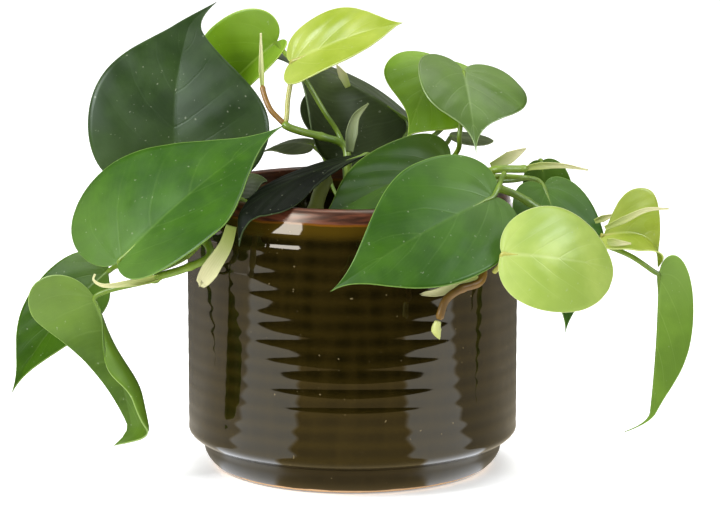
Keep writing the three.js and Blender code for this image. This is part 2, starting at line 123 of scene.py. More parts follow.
# Stems
PETIOLE_RADIUS = 1.1
PETIOLE_STEPS = 10
# A petiole runs on under its blade, thinner, to these shares of the midrib
UNDER_BLADE = (0.12, 0.04)
UNDER_BLADE_SIZE = 0.3
VINE_RADIUS = 1.7
VINE_STEP = 1.2
NODE_SPACING = 17
NODE_SWELLING = 0.2
NODE_LENGTH = 0.07
STALK_SIDES = 14
END_NARROWING = 0.5

# Sheaths: a wrap is half of the arc round one, a face is the way its rounded back turns, and torn ends
# begin past TORN_FROM of the length
SHEATH_THICKNESS = 0.35
SHEATH_LAYERS = ("round", "along")
SHEATH_COLUMNS = 12
SHEATH_STEPS = 12
BUD_STEPS = 24
SHEATH_RIBS = 9
SHEATH_WRAP = math.radians(70)
SHEATH_FACE = (0, 1, 0)
SHEATH_FOOT = 0.6
SHEATH_TAPER = 0.7
TORN_FROM = 0.75
TORN_TEETH = 2.3
TIP_RADIUS = 0.3

# Refraction of waxed leaf skin
WAX_IOR = 1.42


def rooted(x, y):
    """The straight foot of a vine, in its hole in the soil."""
    return [(x, y, z) for z in (HOLE_FLOOR, SOIL_TOP - 10, SOIL_TOP, SOIL_TOP + 6)]


# Leaves

# In a pair the first value is for the half on the left of the midrib, seen from above with the tip
# ahead. The base is where the petiole joins, the arch moves the middle of the midrib, a fold is the
# half's slope in degrees, a roll is how far it curls on from there, and a hook bends the tip.

HEART = dict(lobe=0.11, widest=0.25, full=0.6, tail=0.76)
BROAD = dict(lobe=0.24, full=0.66, tail=0.7, point=0.22)
TAILED = dict(lobe=0.22, full=0.72, tail=0.52, point=0.04)
SHORT = dict(lobe=0.05, widest=0.32, full=0.7, tail=0.8, point=0.1)
ROUND = dict(lobe=0.05, widest=0.4, full=0.72, tail=0.96, point=0.45)

LEAVES = {
    "leaf_big_dark": dict(
        look="dark", base=(-77.4, 4, 134.7), tip=(-69.5, 24, 199.8), arch=(-4, -4, 0), right=(1, 0.05, 0),
        width=(37.5, 42), fold=(8, 8), roll=(-8, -8), shape=[dict(BROAD, lobe=0.16, widest=0.2), BROAD],
        hook=(9.7, 0, 2.6), petiole=[(-76, 5, 129), (-68, 3, 128), (-56, 0, 125), (-46, -12, 121)],
    ),
    "leaf_left_front": dict(
        look="green", base=(-99, -48, 98.4), tip=(-29.2, -24, 153.8), arch=(-1.7, -4, 2.9),
        right=(0.3, -0.86, -0.42), width=(46, 34), fold=(14, 0), roll=(-8, 4),
        shape=[
            dict(lobe=0.14, widest=0.16, full=0.54, tail=0.7),
            dict(lobe=0.05, widest=0.41, full=0.57, tail=0.78, point=-0.05),
        ],
        petiole=[(-94, -44, 94.5), (-85.6, -44, 93.7), (-71, -44.5, 99.7), (-64.5, -42.5, 105.5)],
    ),
    "leaf_back_bright": dict(
        look="bright", base=(-34.3, 32, 183.3), tip=(-74.9, 46, 141.1), arch=(-1, 2, 1),
        right=(-0.7, -0.1, 0.7), width=(20, 24), fold=(75, 0), roll=(10, -8),
        shape=[dict(HEART, lobe=0.16), dict(HEART, lobe=0.17)],
        petiole=[(-30.8, 22, 180.8), (-27, 12, 177.9), (-23, 7.5, 173.1), (-19.5, 6.5, 168),
                 (-12, 6.5, 155.2), (-7, 8.5, 147.3), (-4.2, 6.3, 142)],
    ),
    "leaf_top_young": dict(
        look="young", crinkle=3, base=(-26.4, 4, 177.9), tip=(21.7, -10, 196.4), arch=(2, -5, 3),
        right=(0.3, -0.7, -0.65), width=(16.5, 15), fold=(10, 10), roll=(-10, 10),
        shape=[dict(SHORT, full=0.62), dict(SHORT, lobe=0.07, widest=0.1, full=0.78)],
        petiole=[(-26.9, 9, 170), (-28.3, 7, 161), (-28.8, 4.5, 153.4), (-29.3, 4, 151)],
    ),
    "leaf_deep_top": dict(
        look="deep", base=(24.2, 28, 149.1), tip=(-57.6, 46, 179.5), arch=(2, -3, 7),
        right=(0.1, 0.98, 0), width=(36, 22), fold=(-75, 0), fold_tip=(0, 0), roll=(0, 0),
        shape=[dict(lobe=0.1, widest=0.25, full=0.5, tail=0.55, point=0.03), HEART],
        petiole=[(25, 26, 145), (23, 19, 142.3)],
    ),
    "leaf_deep_behind": dict(
        look="deep", base=(-9.4, 60, 157.8), tip=(14.6, 58, 130.6), arch=(0, 0, 0),
        right=(-0.75, 0, -0.66), width=(14, 19.7), fold=(0, 0), roll=(-10, -10), shape=[HEART, BROAD],
        petiole=[(-9.8, 63.6, 156.6), (-8.4, 65, 150), (-5, 54, 137), (-3, 30, 120), (-2.4, 7, 113)],
    ),
    "leaf_right_bright": dict(
        look="bright", base=(38.8, 26, 175.5), tip=(23.9, 2, 145.2), arch=(0, 0, 3),
        right=(-0.9, 0.2, 0.05), width=(27, 22.5), fold=(5, 5), roll=(-10, -15),
        shape=[
            dict(lobe=0.1, widest=0.55, full=0.9, tail=0.86, point=0.2),
            dict(lobe=0.12, widest=0.2, full=0.6, tail=0.6),
        ],
        petiole=[(42, 31, 168), (44, 27, 152), (34, 20, 142), (26, 16, 140)],
    ),
    "leaf_grey_heart": dict(
        look="dark", paint="waxy", base=(48.6, 8, 173.1), tip=(53.3, -26, 141.1), arch=(0, -3, 3),
        right=(-0.95, 0, 0.3), width=(28, 22), fold=(8, 8), roll=(-20, -10), shape=[TAILED, TAILED],
        petiole=[(48.5, 7.5, 166), (47.5, -2.5, 156), (46.5, -8, 147), (46, -3, 140), (36, 5, 128),
                 (20, 9, 119)],
    ),
    "leaf_olive_small": dict(
        look="olive", base=(43.5, 16, 143.6), tip=(62.7, 22, 140.6), arch=(0, 0, 0),
        right=(0.1, -0.8, -0.6), width=(4, 4), fold=(0, 0), roll=(-10, -10), shape=[ROUND, ROUND],
        petiole=[(42, 16, 141), (34, 14, 134), (24, 10.5, 126)],
    ),
    "leaf_inside_rim": dict(
        look="green", paint="shade", base=(40.2, -8, 134.2), tip=(-16, -44, 113), arch=(0, 0, 3),
        right=(0, 0.5, 0.86), width=(16, 17), fold=(30, 5), roll=(0, -10),
        shape=[HEART, dict(BROAD, lobe=0.1, full=0.8)],
        petiole=[(40, -2, 129), (30, 6, 121), (19, 8, 116)],
    ),
    "leaf_front": dict(
        look="green", base=(59, -58, 127.8), tip=(-8.8, -90, 93.5), arch=(0, -6, 3),
        right=(-0.44, 0.5, 0.745), width=(28, 28.5), fold=(6, 6), roll=(-6, -10),
        shape=[dict(HEART, lobe=0.07, widest=0.28, full=0.72), dict(HEART, full=0.54)],
        petiole=[(61.5, -55, 131.5), (63, -44, 133), (65, -31.5, 134)],
    ),
    "leaf_right_green": dict(
        look="dark", paint="green", base=(82.8, -22, 126.1), tip=(90.5, -52, 68.8), arch=(4, -4, 0),
        right=(-0.9, -0.4, 0), width=(20, 21), fold=(10, 10), roll=(-10, -10),
        shape=[dict(HEART, lobe=0.09, widest=0.3), dict(HEART, lobe=0.07)],
        petiole=[(80, -18, 129), (72, -20, 130.6), (62, -17, 130.5), (54, -13, 129)],
    ),
    "leaf_right_shadow": dict(
        look="deep", paint="shade", base=(82.5, -4, 135), tip=(88.5, -8, 96.7), arch=(0, 0, 0),
        right=(-0.9, 0.2, -0.3), width=(12, 10), fold=(5, 5), roll=(0, 0),
        shape=[SHORT, SHORT],
        petiole=[(82, -1.2, 135), (80.5, 0.5, 129.5), (74, -4, 127.5), (60, -9, 127)],
    ),
    "leaf_round_young": dict(
        look="young", paint="lime", crinkle=2, base=(62.2, -84, 108.1), tip=(109.1, -66, 98.6),
        arch=(2, -8, 2.5), right=(0, -0.4, -0.9), width=(23, 22.5), fold=(0, 0), roll=(-15, -20),
        shape=[ROUND, dict(ROUND, full=0.8, tail=1)],
        petiole=[(61.5, -82, 103.5), (58.8, -78, 99.5)],
    ),
    "leaf_unfolding": dict(
        look="young", base=(107.6, -36, 107.6), tip=(130.9, -36, 93.8), arch=(6.2, -1, 6.4),
        right=(0.1, -0.2, -1), width=(20, 14), fold=(0, 60), fold_tip=(0, 50), roll=(0, 0),
        shape=[
            dict(lobe=-0.1, widest=0.34, full=0.5, tail=0.44, point=0.02),
            dict(lobe=0.11, widest=0.2, full=0.45, tail=0.85, point=0.3),
        ],
        petiole=[(106.2, -36.7, 108)],
    ),
    "leaf_hanging_right": dict(
        look="green", paint="soft", base=(131, -39, 91.4), tip=(127, -43, 22.4), arch=(1, 0, 0),
        right=(1, 0.1, 0), width=(20, 15.5), fold=(150, 0), roll=(0, 0),
        shape=[HEART, dict(BROAD, lobe=0.16, widest=0.24)], hook=(-10, 0, 1),
        petiole=[(129, -38.7, 92.6), (119.3, -38, 99.1), (110, -37.5, 103), (105, -38, 104.6)],
    ),
    "leaf_twisted_left": dict(
        look="green", paint="soft", base=(-109.7, -46, 82.5), tip=(-94, -40, 18.5), arch=(2, 0, 0),
        right=(-1, 0, 0.1), width=(23, 28), fold=(65, 5), fold_tip=(12, 5), roll=(125, -10),
        shape=[
            dict(lobe=-0.22, widest=0.5, full=0.9, tail=0.96, point=0.55),
            dict(lobe=0.25, widest=-0.06, full=0.1, tail=0.24, point=0.36),
        ],
        hook=(-9, 0, -2),
        petiole=[(-106, -46.5, 85), (-89, -48, 89.5), (-83, -48.5, 91), (-80.5, -49.2, 92.4)],
    ),
    "leaf_left_behind": dict(
        look="dark", paint="shade", base=(-108, 4, 84.8), tip=(-150.2, -8, 32.8), arch=(-3, 0, 2.4),
        right=(-0.72, 0.35, 0.6), width=(20, 19), fold=(35, 5), roll=(0, -10),
        shape=[dict(HEART, lobe=-0.03), dict(lobe=0.06, widest=0.25, full=0.7, tail=0.73, point=0.12)],
        petiole=[(-104, 0, 88), (-96, -20, 88), (-88, -36, 88.5), (-83.5, -43.5, 89.5), (-81.5, -48, 92)],
    ),
    "leaf_rim_dark": dict(
        look="deep", paint="deepest_shade", base=(6.8, -14, 139.7), tip=(-49.8, -67, 118.2), arch=(-7.5, -5, 2.2),
        right=(-0.45, 0.87, 0.2), width=(15.5, 17), fold=(6, -16), roll=(-32, -5),
        hook=(2.8, -3, -9.3),
        shape=[dict(lobe=-0.3, widest=0.62, full=0.85, tail=0.9, point=0.35), dict(HEART, lobe=0.02)],
        petiole=[(9, -10, 135), (7, -4, 128), (1.5, 0, 120)],
    ),
    "leaf_inner_striped": dict(
        look="deep", base=(-52.4, -14, 122.6), tip=(-37.2, -6, 126.6), arch=(0, 0, 2),
        right=(0.2, -0.6, -0.5), width=(6, 7), fold=(0, 0), roll=(-10, -10), shape=[ROUND, HEART],
        petiole=[(-52, -10, 120), (-43, -6, 112.5), (-32, -5, 106)],
    ),
    "leaf_back_thin": dict(
        look="olive", base=(-18.7, 34, 137.5), tip=(-40.9, 40, 133), arch=(0, 0, 2),
        right=(0.25, 0.95, 0.1), width=(9, 9), fold=(-20, 0), roll=(0, 0), shape=[HEART, HEART],
        petiole=[(-17.3, 33, 136.4), (-13, 26, 132.9), (-9, 12, 122), (-4.4, 4, 114)], stalk=0.8,
    ),
}

# Vines and stems, each green and with VINE_RADIUS where it says nothing else

VINES = {
    "vine_middle": dict(
        path=[*rooted(-2, 2), (-2, 3, 131.5), (-3.7, 6, 141), (-12, 5, 144.5), (-21.7, 4, 147.1),
              (-28, 3, 149.4), (-30.4, 4, 151)],
    ),
    "vine_left": dict(
        path=[*rooted(-26, -12), (-38, -18, 114), (-51, -25, 122.5), (-60, -30, 126), (-66.5, -37, 121),
              (-64, -46, 111), (-60, -53.5, 102.5), (-70.5, -52, 96.5), (-80.5, -49.5, 93),
              (-84, -50.4, 92.2)],
    ),
    "vine_right": dict(
        path=[*rooted(24, -6), (36, -10, 115), (48, -14, 125), (57, -21, 132), (62, -27, 135),
              (72.8, -26, 135.1), (75.2, -26, 135.5)],
    ),
    "vine_far_right": dict(
        path=[*rooted(34, -22), (47.5, -28.5, 122.2), (60, -35, 128), (68, -38, 126.5), (86, -40, 116),
              (98, -39, 110), (103.2, -38, 108.6)],
    ),
    "vine_front": dict(
        look="brown",
        path=[*rooted(16, -28), (28, -44, 121), (37, -56.5, 126.5), (44.5, -64, 121), (51, -70, 109),
              (54.5, -75, 100.5), (53, -79, 95.5), (44.7, -82, 93), (38.8, -84, 88.8), (35.9, -86, 81)],
    ),
    "shoot_upper_left": dict(
        radius=1.2, look="brown",
        path=[(-29.4, 3.9, 150.4), (-32.2, 4.8, 152.8), (-36.1, 6, 157), (-39.3, 9, 165), (-39.5, 9.6, 167)],
    ),
    "vine_centre": dict(
        path=[*rooted(12, 8), (16, 11, 128), (22, 14, 139.5)],
    ),
    "stem_thick": dict(
        radius=3.2, look="old",
        path=[*rooted(-17, -26), (-15.7, -21, 118), (-11.5, -9, 129)],
    ),
}

# Sheaths and the bud

# Each has its width and the share of its length where it is widest. Flatten is how deep its hollow is, or
# how thick the bud is, taper how early it narrows, and ragged how far its torn end varies.
SHEATHS = {
    "sheath_upper_left": dict(
        path=[(-39.5, 9.2, 165.8), (-40, 11, 175), (-40.2, 14, 189.6)],
        width=2.2, widest=0.3, flatten=0.7,
    ),
    "sheath_behind_top": dict(
        path=[(-2, 24, 164.5), (-4, 24, 169), (-7, 23, 174.5)],
        width=3.8, widest=0.5, flatten=0.25,
    ),
    "sheath_middle": dict(
        path=[(-1.2, -1, 139), (-0.6, -1, 145), (1.5, 1, 154), (7, 2, 160)],
        width=5.2, widest=0.35, flatten=0.3, green=True,
    ),
    "sheath_right_wide": dict(
        path=[(60, -15, 134.6), (67.4, -13, 138), (75.3, -11, 141.9)],
        width=5.4, widest=0.5, face=(0.2, 1, 0.2), flatten=0.2,
    ),
    "sheath_right_long": dict(
        path=[(73.6, -26, 135.2), (80, -26, 136.4), (90, -25, 136.4), (101.3, -24, 134.4)],
        width=3, widest=0.25, flatten=0.5,
    ),
    "sheath_far_right": dict(
        path=[(107.5, -42, 112), (115.2, -42.5, 115.6), (125.1, -42.5, 120), (134.5, -42, 120.4)],
        width=3, widest=0.3, flatten=0.4,
    ),
    "sheath_far_pale": dict(
        path=[(104, -30, 113), (109, -31, 115), (112.5, -32, 116.3)],
        width=2.8, widest=0.4, flatten=0.5,
    ),
    "sheath_far_low": dict(
        path=[(108, -48, 107.4), (112.6, -48.5, 106.8), (118.1, -49, 106.5)],
        width=3.4, widest=0.2, flatten=0.4,
    ),
    "sheath_left_curled": dict(
        path=[(-82, -51, 92.5), (-95, -52, 90), (-106, -52, 89.2), (-109.6, -51, 91.4), (-109, -50, 93.6)],
        width=3.4, widest=0.15, flatten=0.6,
    ),
    "sheath_left_hanging": dict(
        path=[(-50.5, -60.5, 116), (-53, -62.5, 108), (-58, -64, 100), (-63.5, -64, 91.5)],
        width=7.6, widest=0.75, taper=0.2, ragged=2.5, face=(0.3, 1, 0), flatten=0.18,
    ),
    "sheath_front_ragged": dict(
        path=[(53.5, -73.5, 96), (46, -74.5, 94.2), (36, -77, 90.9), (29, -78, 90.2)],
        width=4.4, widest=0.4, taper=0.4, ragged=2, flatten=0.25,
    ),
    "bud_front": dict(
        path=[(35.6, -85.4, 80.4), (34.8, -85.6, 77), (36.2, -85.8, 72.6)],
        width=4.4, widest=0.5, flatten=0.9,
    ),
}


def srgb(code):
    """The linear colour of an sRGB hex code."""
    channels = [int(code[i:i + 2], 16) / 255 for i in (1, 3, 5)]
    linear = [c / 12.92 if c <= 0.04045 else ((c + 0.055) / 1.055) ** 2.4 for c in channels]
    return (*linear, 1.0)


def mix(a, b, share):
    return a + (b - a) * share


def smoothstep(value, low, high):
    share = min(max((value - low) / (high - low), 0.0), 1.0)
    return share * share * (3 - 2 * share)


# Materials

def add(tree, kind, inputs=None, output=0, **settings):
    """Adds a node with its settings and links, and gives back one of its outputs. Each input gets a value,
    another node's output, or a colour by its hex code."""
    made = tree.nodes.new(kind)
    for name, value in settings.items():
        setattr(made, name, value)
    for key, value in (inputs or {}).items():
        socket = made.inputs[key]
        if isinstance(value, bpy.types.NodeSocket):
            tree.links.new(value, socket)
        else:
            socket.default_value = srgb(value) if isinstance(value, str) else value
    return made.outputs[output] if made.outputs else None


def new_material(name):
    material = bpy.data.materials.new(name)
    material.use_nodes = True
    material.node_tree.nodes.clear()
    return material, material.node_tree


def speckle(tree, size, detail=2.0, stretch=(1, 1, 1)):
    """Noise on Object coordinates, whose spots are about size millimetres across."""
    place = add(tree, "ShaderNodeTexCoord", output="Object")
    scaled = add(tree, "ShaderNodeMapping", {0: place, 3: stretch})
    return add(tree, "ShaderNodeTexNoise", {"Vector": scaled, "Scale": 0.5 / (size * MM), "Detail": detail})


def off_line(tree, coordinate, count):
    """How far a place is from the nearest of count even lines across a 0 to 1 coordinate, in spacings."""
    spread = add(tree, "ShaderNodeMath", {0: coordinate, 1: count}, operation="MULTIPLY")
    return add(tree, "ShaderNodeMath", {0: spread, 1: 0.5}, operation="PINGPONG")


def where(tree, *limits):
    """1 where every value has passed its limit and 0 where one hasn't reached it, with a soft step between.
    Each limit is the value, what it is where the step starts, and what it is where the step ends."""
    share = 1.0
    for value, start, end in limits:
        step = add(tree, "ShaderNodeMapRange", {0: value, 1: start, 2: end}, interpolation_type="SMOOTHSTEP")
        share = add(tree, "ShaderNodeMath", {0: step, 1: share}, operation="MULTIPLY")
    return share


def coated(tree, ground, *coats):
    """A ground colour with coats over it in turn: each is where it lies, its strength and its colour."""
    for cover, strength, colour in coats:
        share = add(tree, "ShaderNodeMath", {0: cover, 1: strength}, operation="MULTIPLY")
        ground = add(tree, "ShaderNodeMix", {0: share, 6: ground, 7: colour}, output=2, data_type="RGBA")
    return ground


def leaf_tissue(name, face, patch, vein, rough=0.36, light=0.12, veins=0.12, stripes=0.01, shine=0.3):
    """The blade of a living leaf: a waxed skin over lit green tissue, with a pale midrib and faint veins.

    The wax gives the eye a soft, broad sheen, the tissue lets some light through, and the midrib and the
    thin pale margin show how the leaf is built."""
    material, tree = new_material(name)
    along, row, share, reach, edge = (
        add(tree, "ShaderNodeAttribute", output="Fac", attribute_name=layer) for layer in BLADE_LAYERS)
    arched = add(tree, "ShaderNodeMath", {0: share, 1: VEIN_POWER}, operation="POWER")
    drift = add(tree, "ShaderNodeMath", {0: speckle(tree, size=9), 1: 0.03, 2: row},
                operation="MULTIPLY_ADD")
    fan = add(tree, "ShaderNodeMath", {0: arched, 1: -VEIN_BEND, 2: drift}, operation="MULTIPLY_ADD")
    main = where(tree, (off_line(tree, fan, VEIN_COUNT), 0.06, 0.0), (share, 1.1, 0.1))
    fine = where(tree, (off_line(tree, fan, VEIN_COUNT * FINE_VEINS), 0.3, 0.0), (edge, 0.3, 3.0))
    rib_width = add(tree, "ShaderNodeMath", {0: along, 1: RIB_AT_TIP - RIB_AT_BASE, 2: RIB_AT_BASE},
                    operation="MULTIPLY_ADD")
    off_rib = add(tree, "ShaderNodeMath", {0: reach, 1: rib_width}, operation="DIVIDE")
    rib = where(tree, (off_rib, 1.0, 0.0), (along, 1.3, -0.2))
    tissue = coated(
        tree, face,
        (where(tree, (speckle(tree, size=8, detail=4.0), 0.35, 0.7)), 1.0, patch),
        (where(tree, (along, 0.35, -0.05)), 0.2, vein),
        (fine, stripes, vein),
        (main, veins, vein),
        (rib, min(1.0, veins * 3), vein),
        (where(tree, (edge, 0.45, 0.1)), min(0.9, veins * 12), vein))
    specks = where(tree, (speckle(tree, size=0.8, detail=1.0), 0.72, 0.8))
    dusted = coated(tree, tissue, (specks, 0.22, "#c4ccae"))
    grooves = add(tree, "ShaderNodeMath", {0: main, 1: rib}, operation="ADD")
    pores = add(tree, "ShaderNodeMath", {0: speckle(tree, size=0.9), 1: -0.5, 2: grooves},
                operation="MULTIPLY_ADD")
    relief = add(tree, "ShaderNodeBump", {"Strength": 0.4, "Distance": 0.1 * MM, "Height": pores},
                 invert=True)
    gloss = add(tree, "ShaderNodeMapRange",
                {0: speckle(tree, size=5), 1: 0.3, 2: 0.7, 3: rough - 0.05, 4: rough + 0.07})
    skin = add(tree, "ShaderNodeBsdfPrincipled", {
        "Base Color": dusted, "Roughness": gloss, "IOR": WAX_IOR, "Normal": relief,
        "Specular IOR Level": shine})
    glow = add(tree, "ShaderNodeBsdfTranslucent", {"Color": tissue, "Normal": relief})
    lit = add(tree, "ShaderNodeMixShader", {0: light, 1: skin, 2: glow})
    add(tree, "ShaderNodeOutputMaterial", {"Surface": lit})
    return material


def stem_skin(name, low, high):
    """A smooth young stem: waxed bark, clouded with a second colour so that it looks grown, not cast."""
    material, tree = new_material(name)
    fibres = speckle(tree, size=1.4, detail=3.0)
    colour = coated(tree, low, (where(tree, (speckle(tree, size=8), 0.3, 0.75)), 1.0, high),
                    (fibres, 0.5, high))
    relief = add(tree, "ShaderNodeBump", {"Strength": 0.3, "Distance": 0.15 * MM, "Height": fibres})
    skin = add(tree, "ShaderNodeBsdfPrincipled", {
        "Base Color": colour, "Roughness": 0.42, "IOR": WAX_IOR, "Normal": relief})
    add(tree, "ShaderNodeOutputMaterial", {"Surface": skin})
    return material


def papery_sheath(name, low, high):
    """A cataphyll: a thin dry scale, pale and nearly matt, with fine ribs along it and light through it."""
    material, tree = new_material(name)
    crosswise, along = (
        add(tree, "ShaderNodeAttribute", output="Fac", attribute_name=layer) for layer in SHEATH_LAYERS)
    ribs = where(tree, (off_line(tree, crosswise, SHEATH_RIBS), 0.35, 0.0))
    colour = coated(tree, low, (where(tree, (along, 0.0, 0.9)), 1.0, high), (ribs, 0.18, low))
    relief = add(tree, "ShaderNodeBump", {"Strength": 0.4, "Distance": 0.1 * MM, "Height": ribs})
    skin = add(tree, "ShaderNodeBsdfPrincipled", {
        "Base Color": colour, "Roughness": 0.5, "IOR": 1.4, "Normal": relief})
    glow = add(tree, "ShaderNodeBsdfTranslucent", {"Color": colour})
    lit = add(tree, "ShaderNodeMixShader", {0: 0.25, 1: skin, 2: glow})
    add(tree, "ShaderNodeOutputMaterial", {"Surface": lit})
    return material


def iron_glaze():
    """Stoneware under a thick iron glaze, fired glossy: near black where it pooled in the throwing rings,
    olive brown on their crests, and dull red-brown where it ran thin over the lip. It mirrors the room.
    The bare clay under the foot is pale and dry, and burnt where the glaze ends. Its lowest millimetre is
    painted dark, as painted shadow where the foot meets the table."""
    material, tree = new_material("iron_glazed_stoneware")
    place = add(tree, "ShaderNodeTexCoord", output="Object")
    metres_up = add(tree, "ShaderNodeSeparateXYZ", {0: place}, output="Z")
    height = add(tree, "ShaderNodeMath", {0: metres_up, 1: MM}, operation="DIVIDE")
    wander = add(tree, "ShaderNodeMath", {0: speckle(tree, size=7, detail=3.0), 1: GLAZE_RUN, 2: height},
                 operation="MULTIPLY_ADD")
    level = add(tree, "ShaderNodeMath", {0: wander, 1: GLAZE_RUN / 2}, operation="SUBTRACT")
    ringed = add(tree, "ShaderNodeMapRange", {0: level, 1: BODY_START, 2: RINGS_END}, clamp=False)
    crests = where(tree, (off_line(tree, ringed, RING_COUNT), 0.45, 0.0))
    streaks = where(tree, (speckle(tree, size=2.5, detail=4.0, stretch=(1, 1, 0.15)), 0.35, 0.75))
    flecks = where(tree, (speckle(tree, size=0.8, detail=1.0), 0.77, 0.81))
    brush_marks = where(tree, (speckle(tree, size=1.6, detail=3.0, stretch=(0.25, 0.25, 2.2)), 0.35, 0.65))
    lip = where(tree, (level, LIP_EDGE, LIP_EDGE + 0.7))
    bare = where(tree, (level, UNGLAZED_TOP + 0.3, UNGLAZED_TOP - 0.1))
    colour = coated(
        tree, "#130f03",
        (crests, 0.6, "#271f07"),
        (streaks, 0.35, "#2c230a"),
        (where(tree, (level, POT_HEIGHT - 13.5, POT_HEIGHT - 8)), 0.8, "#443409"),
        (where(tree, (level, LIP_EDGE - 0.7, LIP_EDGE - 0.2)), 0.8, "#6c4212"),
        (lip, 1.0, coated(tree, "#33190f", (brush_marks, 1.0, "#5e3220"))),
        (flecks, 0.5, "#8a7c5c"),
        (where(tree, (level, UNGLAZED_TOP + 1.5, UNGLAZED_TOP)), 0.7, "#3c2412"),
        (bare, 1.0, "#d8b48c"),
        # Painted shadow: the foot's lowest rim darkened where it meets the table
        (where(tree, (height, 0.8, 0.3)), 1.0, "#2a1c12"))
    gloss = add(tree, "ShaderNodeMapRange", {0: bare, 3: GLAZE_ROUGHNESS, 4: CLAY_ROUGHNESS})
    foot_band = where(tree, (height, 16, 11))
    dull_foot = add(tree, "ShaderNodeMath", {0: foot_band, 1: 0.4, 2: gloss}, operation="MULTIPLY_ADD")
    dull_lip = add(tree, "ShaderNodeMath", {0: lip, 1: 0.25, 2: dull_foot}, operation="MULTIPLY_ADD")
    dimples = speckle(tree, size=3.5, detail=1.0)
    relief = add(tree, "ShaderNodeBump", {"Strength": 0.25, "Distance": 0.06 * MM, "Height": dimples})
    skin = add(tree, "ShaderNodeBsdfPrincipled", {
        "Base Color": colour, "Roughness": dull_lip, "IOR": 1.5, "Normal": relief,
        "Specular Tint": "#f6ead2"})
    add(tree, "ShaderNodeOutputMaterial", {"Surface": skin})
    return material


def potting_soil():
    """Moist peat and bark: dark, crumbly and fully matt, so the eye reads it as soft ground."""
    material, tree = new_material("moist_potting_soil")
    crumbs = speckle(tree, size=1.5, detail=5.0)
    colour = coated(tree, "#1d130c", (where(tree, (crumbs, 0.35, 0.7)), 1.0, "#4a3423"))
    relief = add(tree, "ShaderNodeBump", {"Strength": 0.9, "Distance": 0.6 * MM, "Height": crumbs})
    skin = add(tree, "ShaderNodeBsdfPrincipled", {
        "Base Color": colour, "Roughness": 0.95, "IOR": 1.4, "Normal": relief})
    add(tree, "ShaderNodeOutputMaterial", {"Surface": skin})
    return material


def perlite():
    """Expanded volcanic glass in the soil: chalky white grains."""
    material, tree = new_material("perlite_grains")
    colour = coated(tree, "#d8d4c8", (speckle(tree, size=0.6), 1.0, "#f0eee6"))
    skin = add(tree, "ShaderNodeBsdfPrincipled", {"Base Color": colour, "Roughness": 0.9, "IOR": 1.45})
    add(tree, "ShaderNodeOutputMaterial", {"Surface": skin})
    return material


# Each paint of a leaf: its upper face and its underside. The shaded, deep and in-shade paints are the same
# green tissue darkened as painted shade, for leaves that lie in the shadow of others; the deep ones are
# also an older green.
LEAF_PAINTS = {
    "dark": (leaf_tissue("mature_leaf_shaded", "#213610", "#2f461b", "#5c7840", light=0.05, veins=0.02),
             leaf_tissue("shaded_underside", "#42592a", "#4c6432", "#8ca066", rough=0.5, light=0.08)),
    "waxy": (leaf_tissue("mature_leaf_waxy", "#446116", "#51701f", "#90a86a", light=0.08, shine=0.5),
             leaf_tissue("waxy_underside", "#4c6a2c", "#557434", "#8ca466", rough=0.5, light=0.1)),
    # Painted shade over an older, deeper green, for leaves behind and under the others
    "deep": (leaf_tissue("mature_leaf_deep_and_shaded", "#2d3915", "#3c4a22", "#647450", light=0.02, veins=0.08,
                         stripes=0.05, shine=0.2),
             leaf_tissue("deep_underside_and_shaded", "#2c3a1c", "#354424", "#6c7e52", rough=0.5, light=0.04,
                         stripes=0.08, shine=0.2)),
    # The deepest painted shade, on both faces of the oldest leaf, which lies under the others
    "deepest_shade": (leaf_tissue("oldest_leaf_in_shade", "#060904", "#0c1207", "#3c4a2c", rough=0.5, light=0.01,
                          veins=0.08, stripes=0.08, shine=0.06),
              leaf_tissue("oldest_leaf_underside_in_shade", "#101808", "#18220e", "#566444", rough=0.5, light=0.02,
                          stripes=0.12, shine=0.1)),
    "shade": (leaf_tissue("mature_leaf_in_shade", "#284606", "#345408", "#7c9648", light=0.06, veins=0.05,
                          shine=0.1),
              leaf_tissue("underside_in_shade", "#38501a", "#425c20", "#809850", rough=0.5, light=0.1,
                          shine=0.15)),
    "green": (leaf_tissue("mature_leaf_green", "#2a4f0a", "#38600d", "#84a850", veins=0.05, shine=0.25),
              leaf_tissue("green_underside", "#4a6c1c", "#557a22", "#94b064", rough=0.48)),
    "soft": (leaf_tissue("mature_leaf_soft", "#446210", "#527216", "#9cb864", light=0.15, veins=0.06),
             leaf_tissue("soft_underside", "#5c7e1c", "#6a8e24", "#a4c468", rough=0.48, light=0.15)),
    "bright": (leaf_tissue("mature_leaf_bright", "#60870e", "#6e9616", "#b0cc58", light=0.2, veins=0.08),
               leaf_tissue("bright_underside", "#5e821a", "#6c9022", "#a4c25c", rough=0.45, light=0.2)),
    "young": (leaf_tissue("young_leaf_lime", "#92a62a", "#a4b440", "#ccd880", rough=0.32, light=0.25,
                          shine=0.5),
              leaf_tissue("young_underside", "#869c28", "#94aa32", "#c4d07a", rough=0.42, light=0.25)),
    "lime": (leaf_tissue("young_leaf_pale", "#9ab44c", "#aec45c", "#d4de9c", rough=0.34, light=0.25,
                         shine=0.35),
             leaf_tissue("pale_underside", "#869c3c", "#94aa48", "#c4d07a", rough=0.42, light=0.25)),
    "olive": (leaf_tissue("mature_leaf_olive", "#4c5a2a", "#586632", "#8c9a60", rough=0.4),
              leaf_tissue("olive_underside", "#586632", "#64723c", "#94a268", rough=0.5)),
}
STEM_LOOKS = {
    "green": stem_skin("green_stem_bark", "#46640f", "#769024"),
    "brown": stem_skin("brown_stem_bark", "#4a3408", "#84601a"),
    "old": stem_skin("old_stem_bark", "#7f8f3a", "#a4b050"),
    "young": stem_skin("young_petiole_bark", "#8a8a34", "#a9a850"),
    "bud": stem_skin("bud_skin", "#98a050", "#cdd08c"),
}
PALE_SHEATH = papery_sheath("papery_sheath", "#a9b85c", "#dcd8a8")
GREEN_SHEATH = papery_sheath("fresh_sheath", "#6c7c46", "#98a46c")

# Mesh helpers

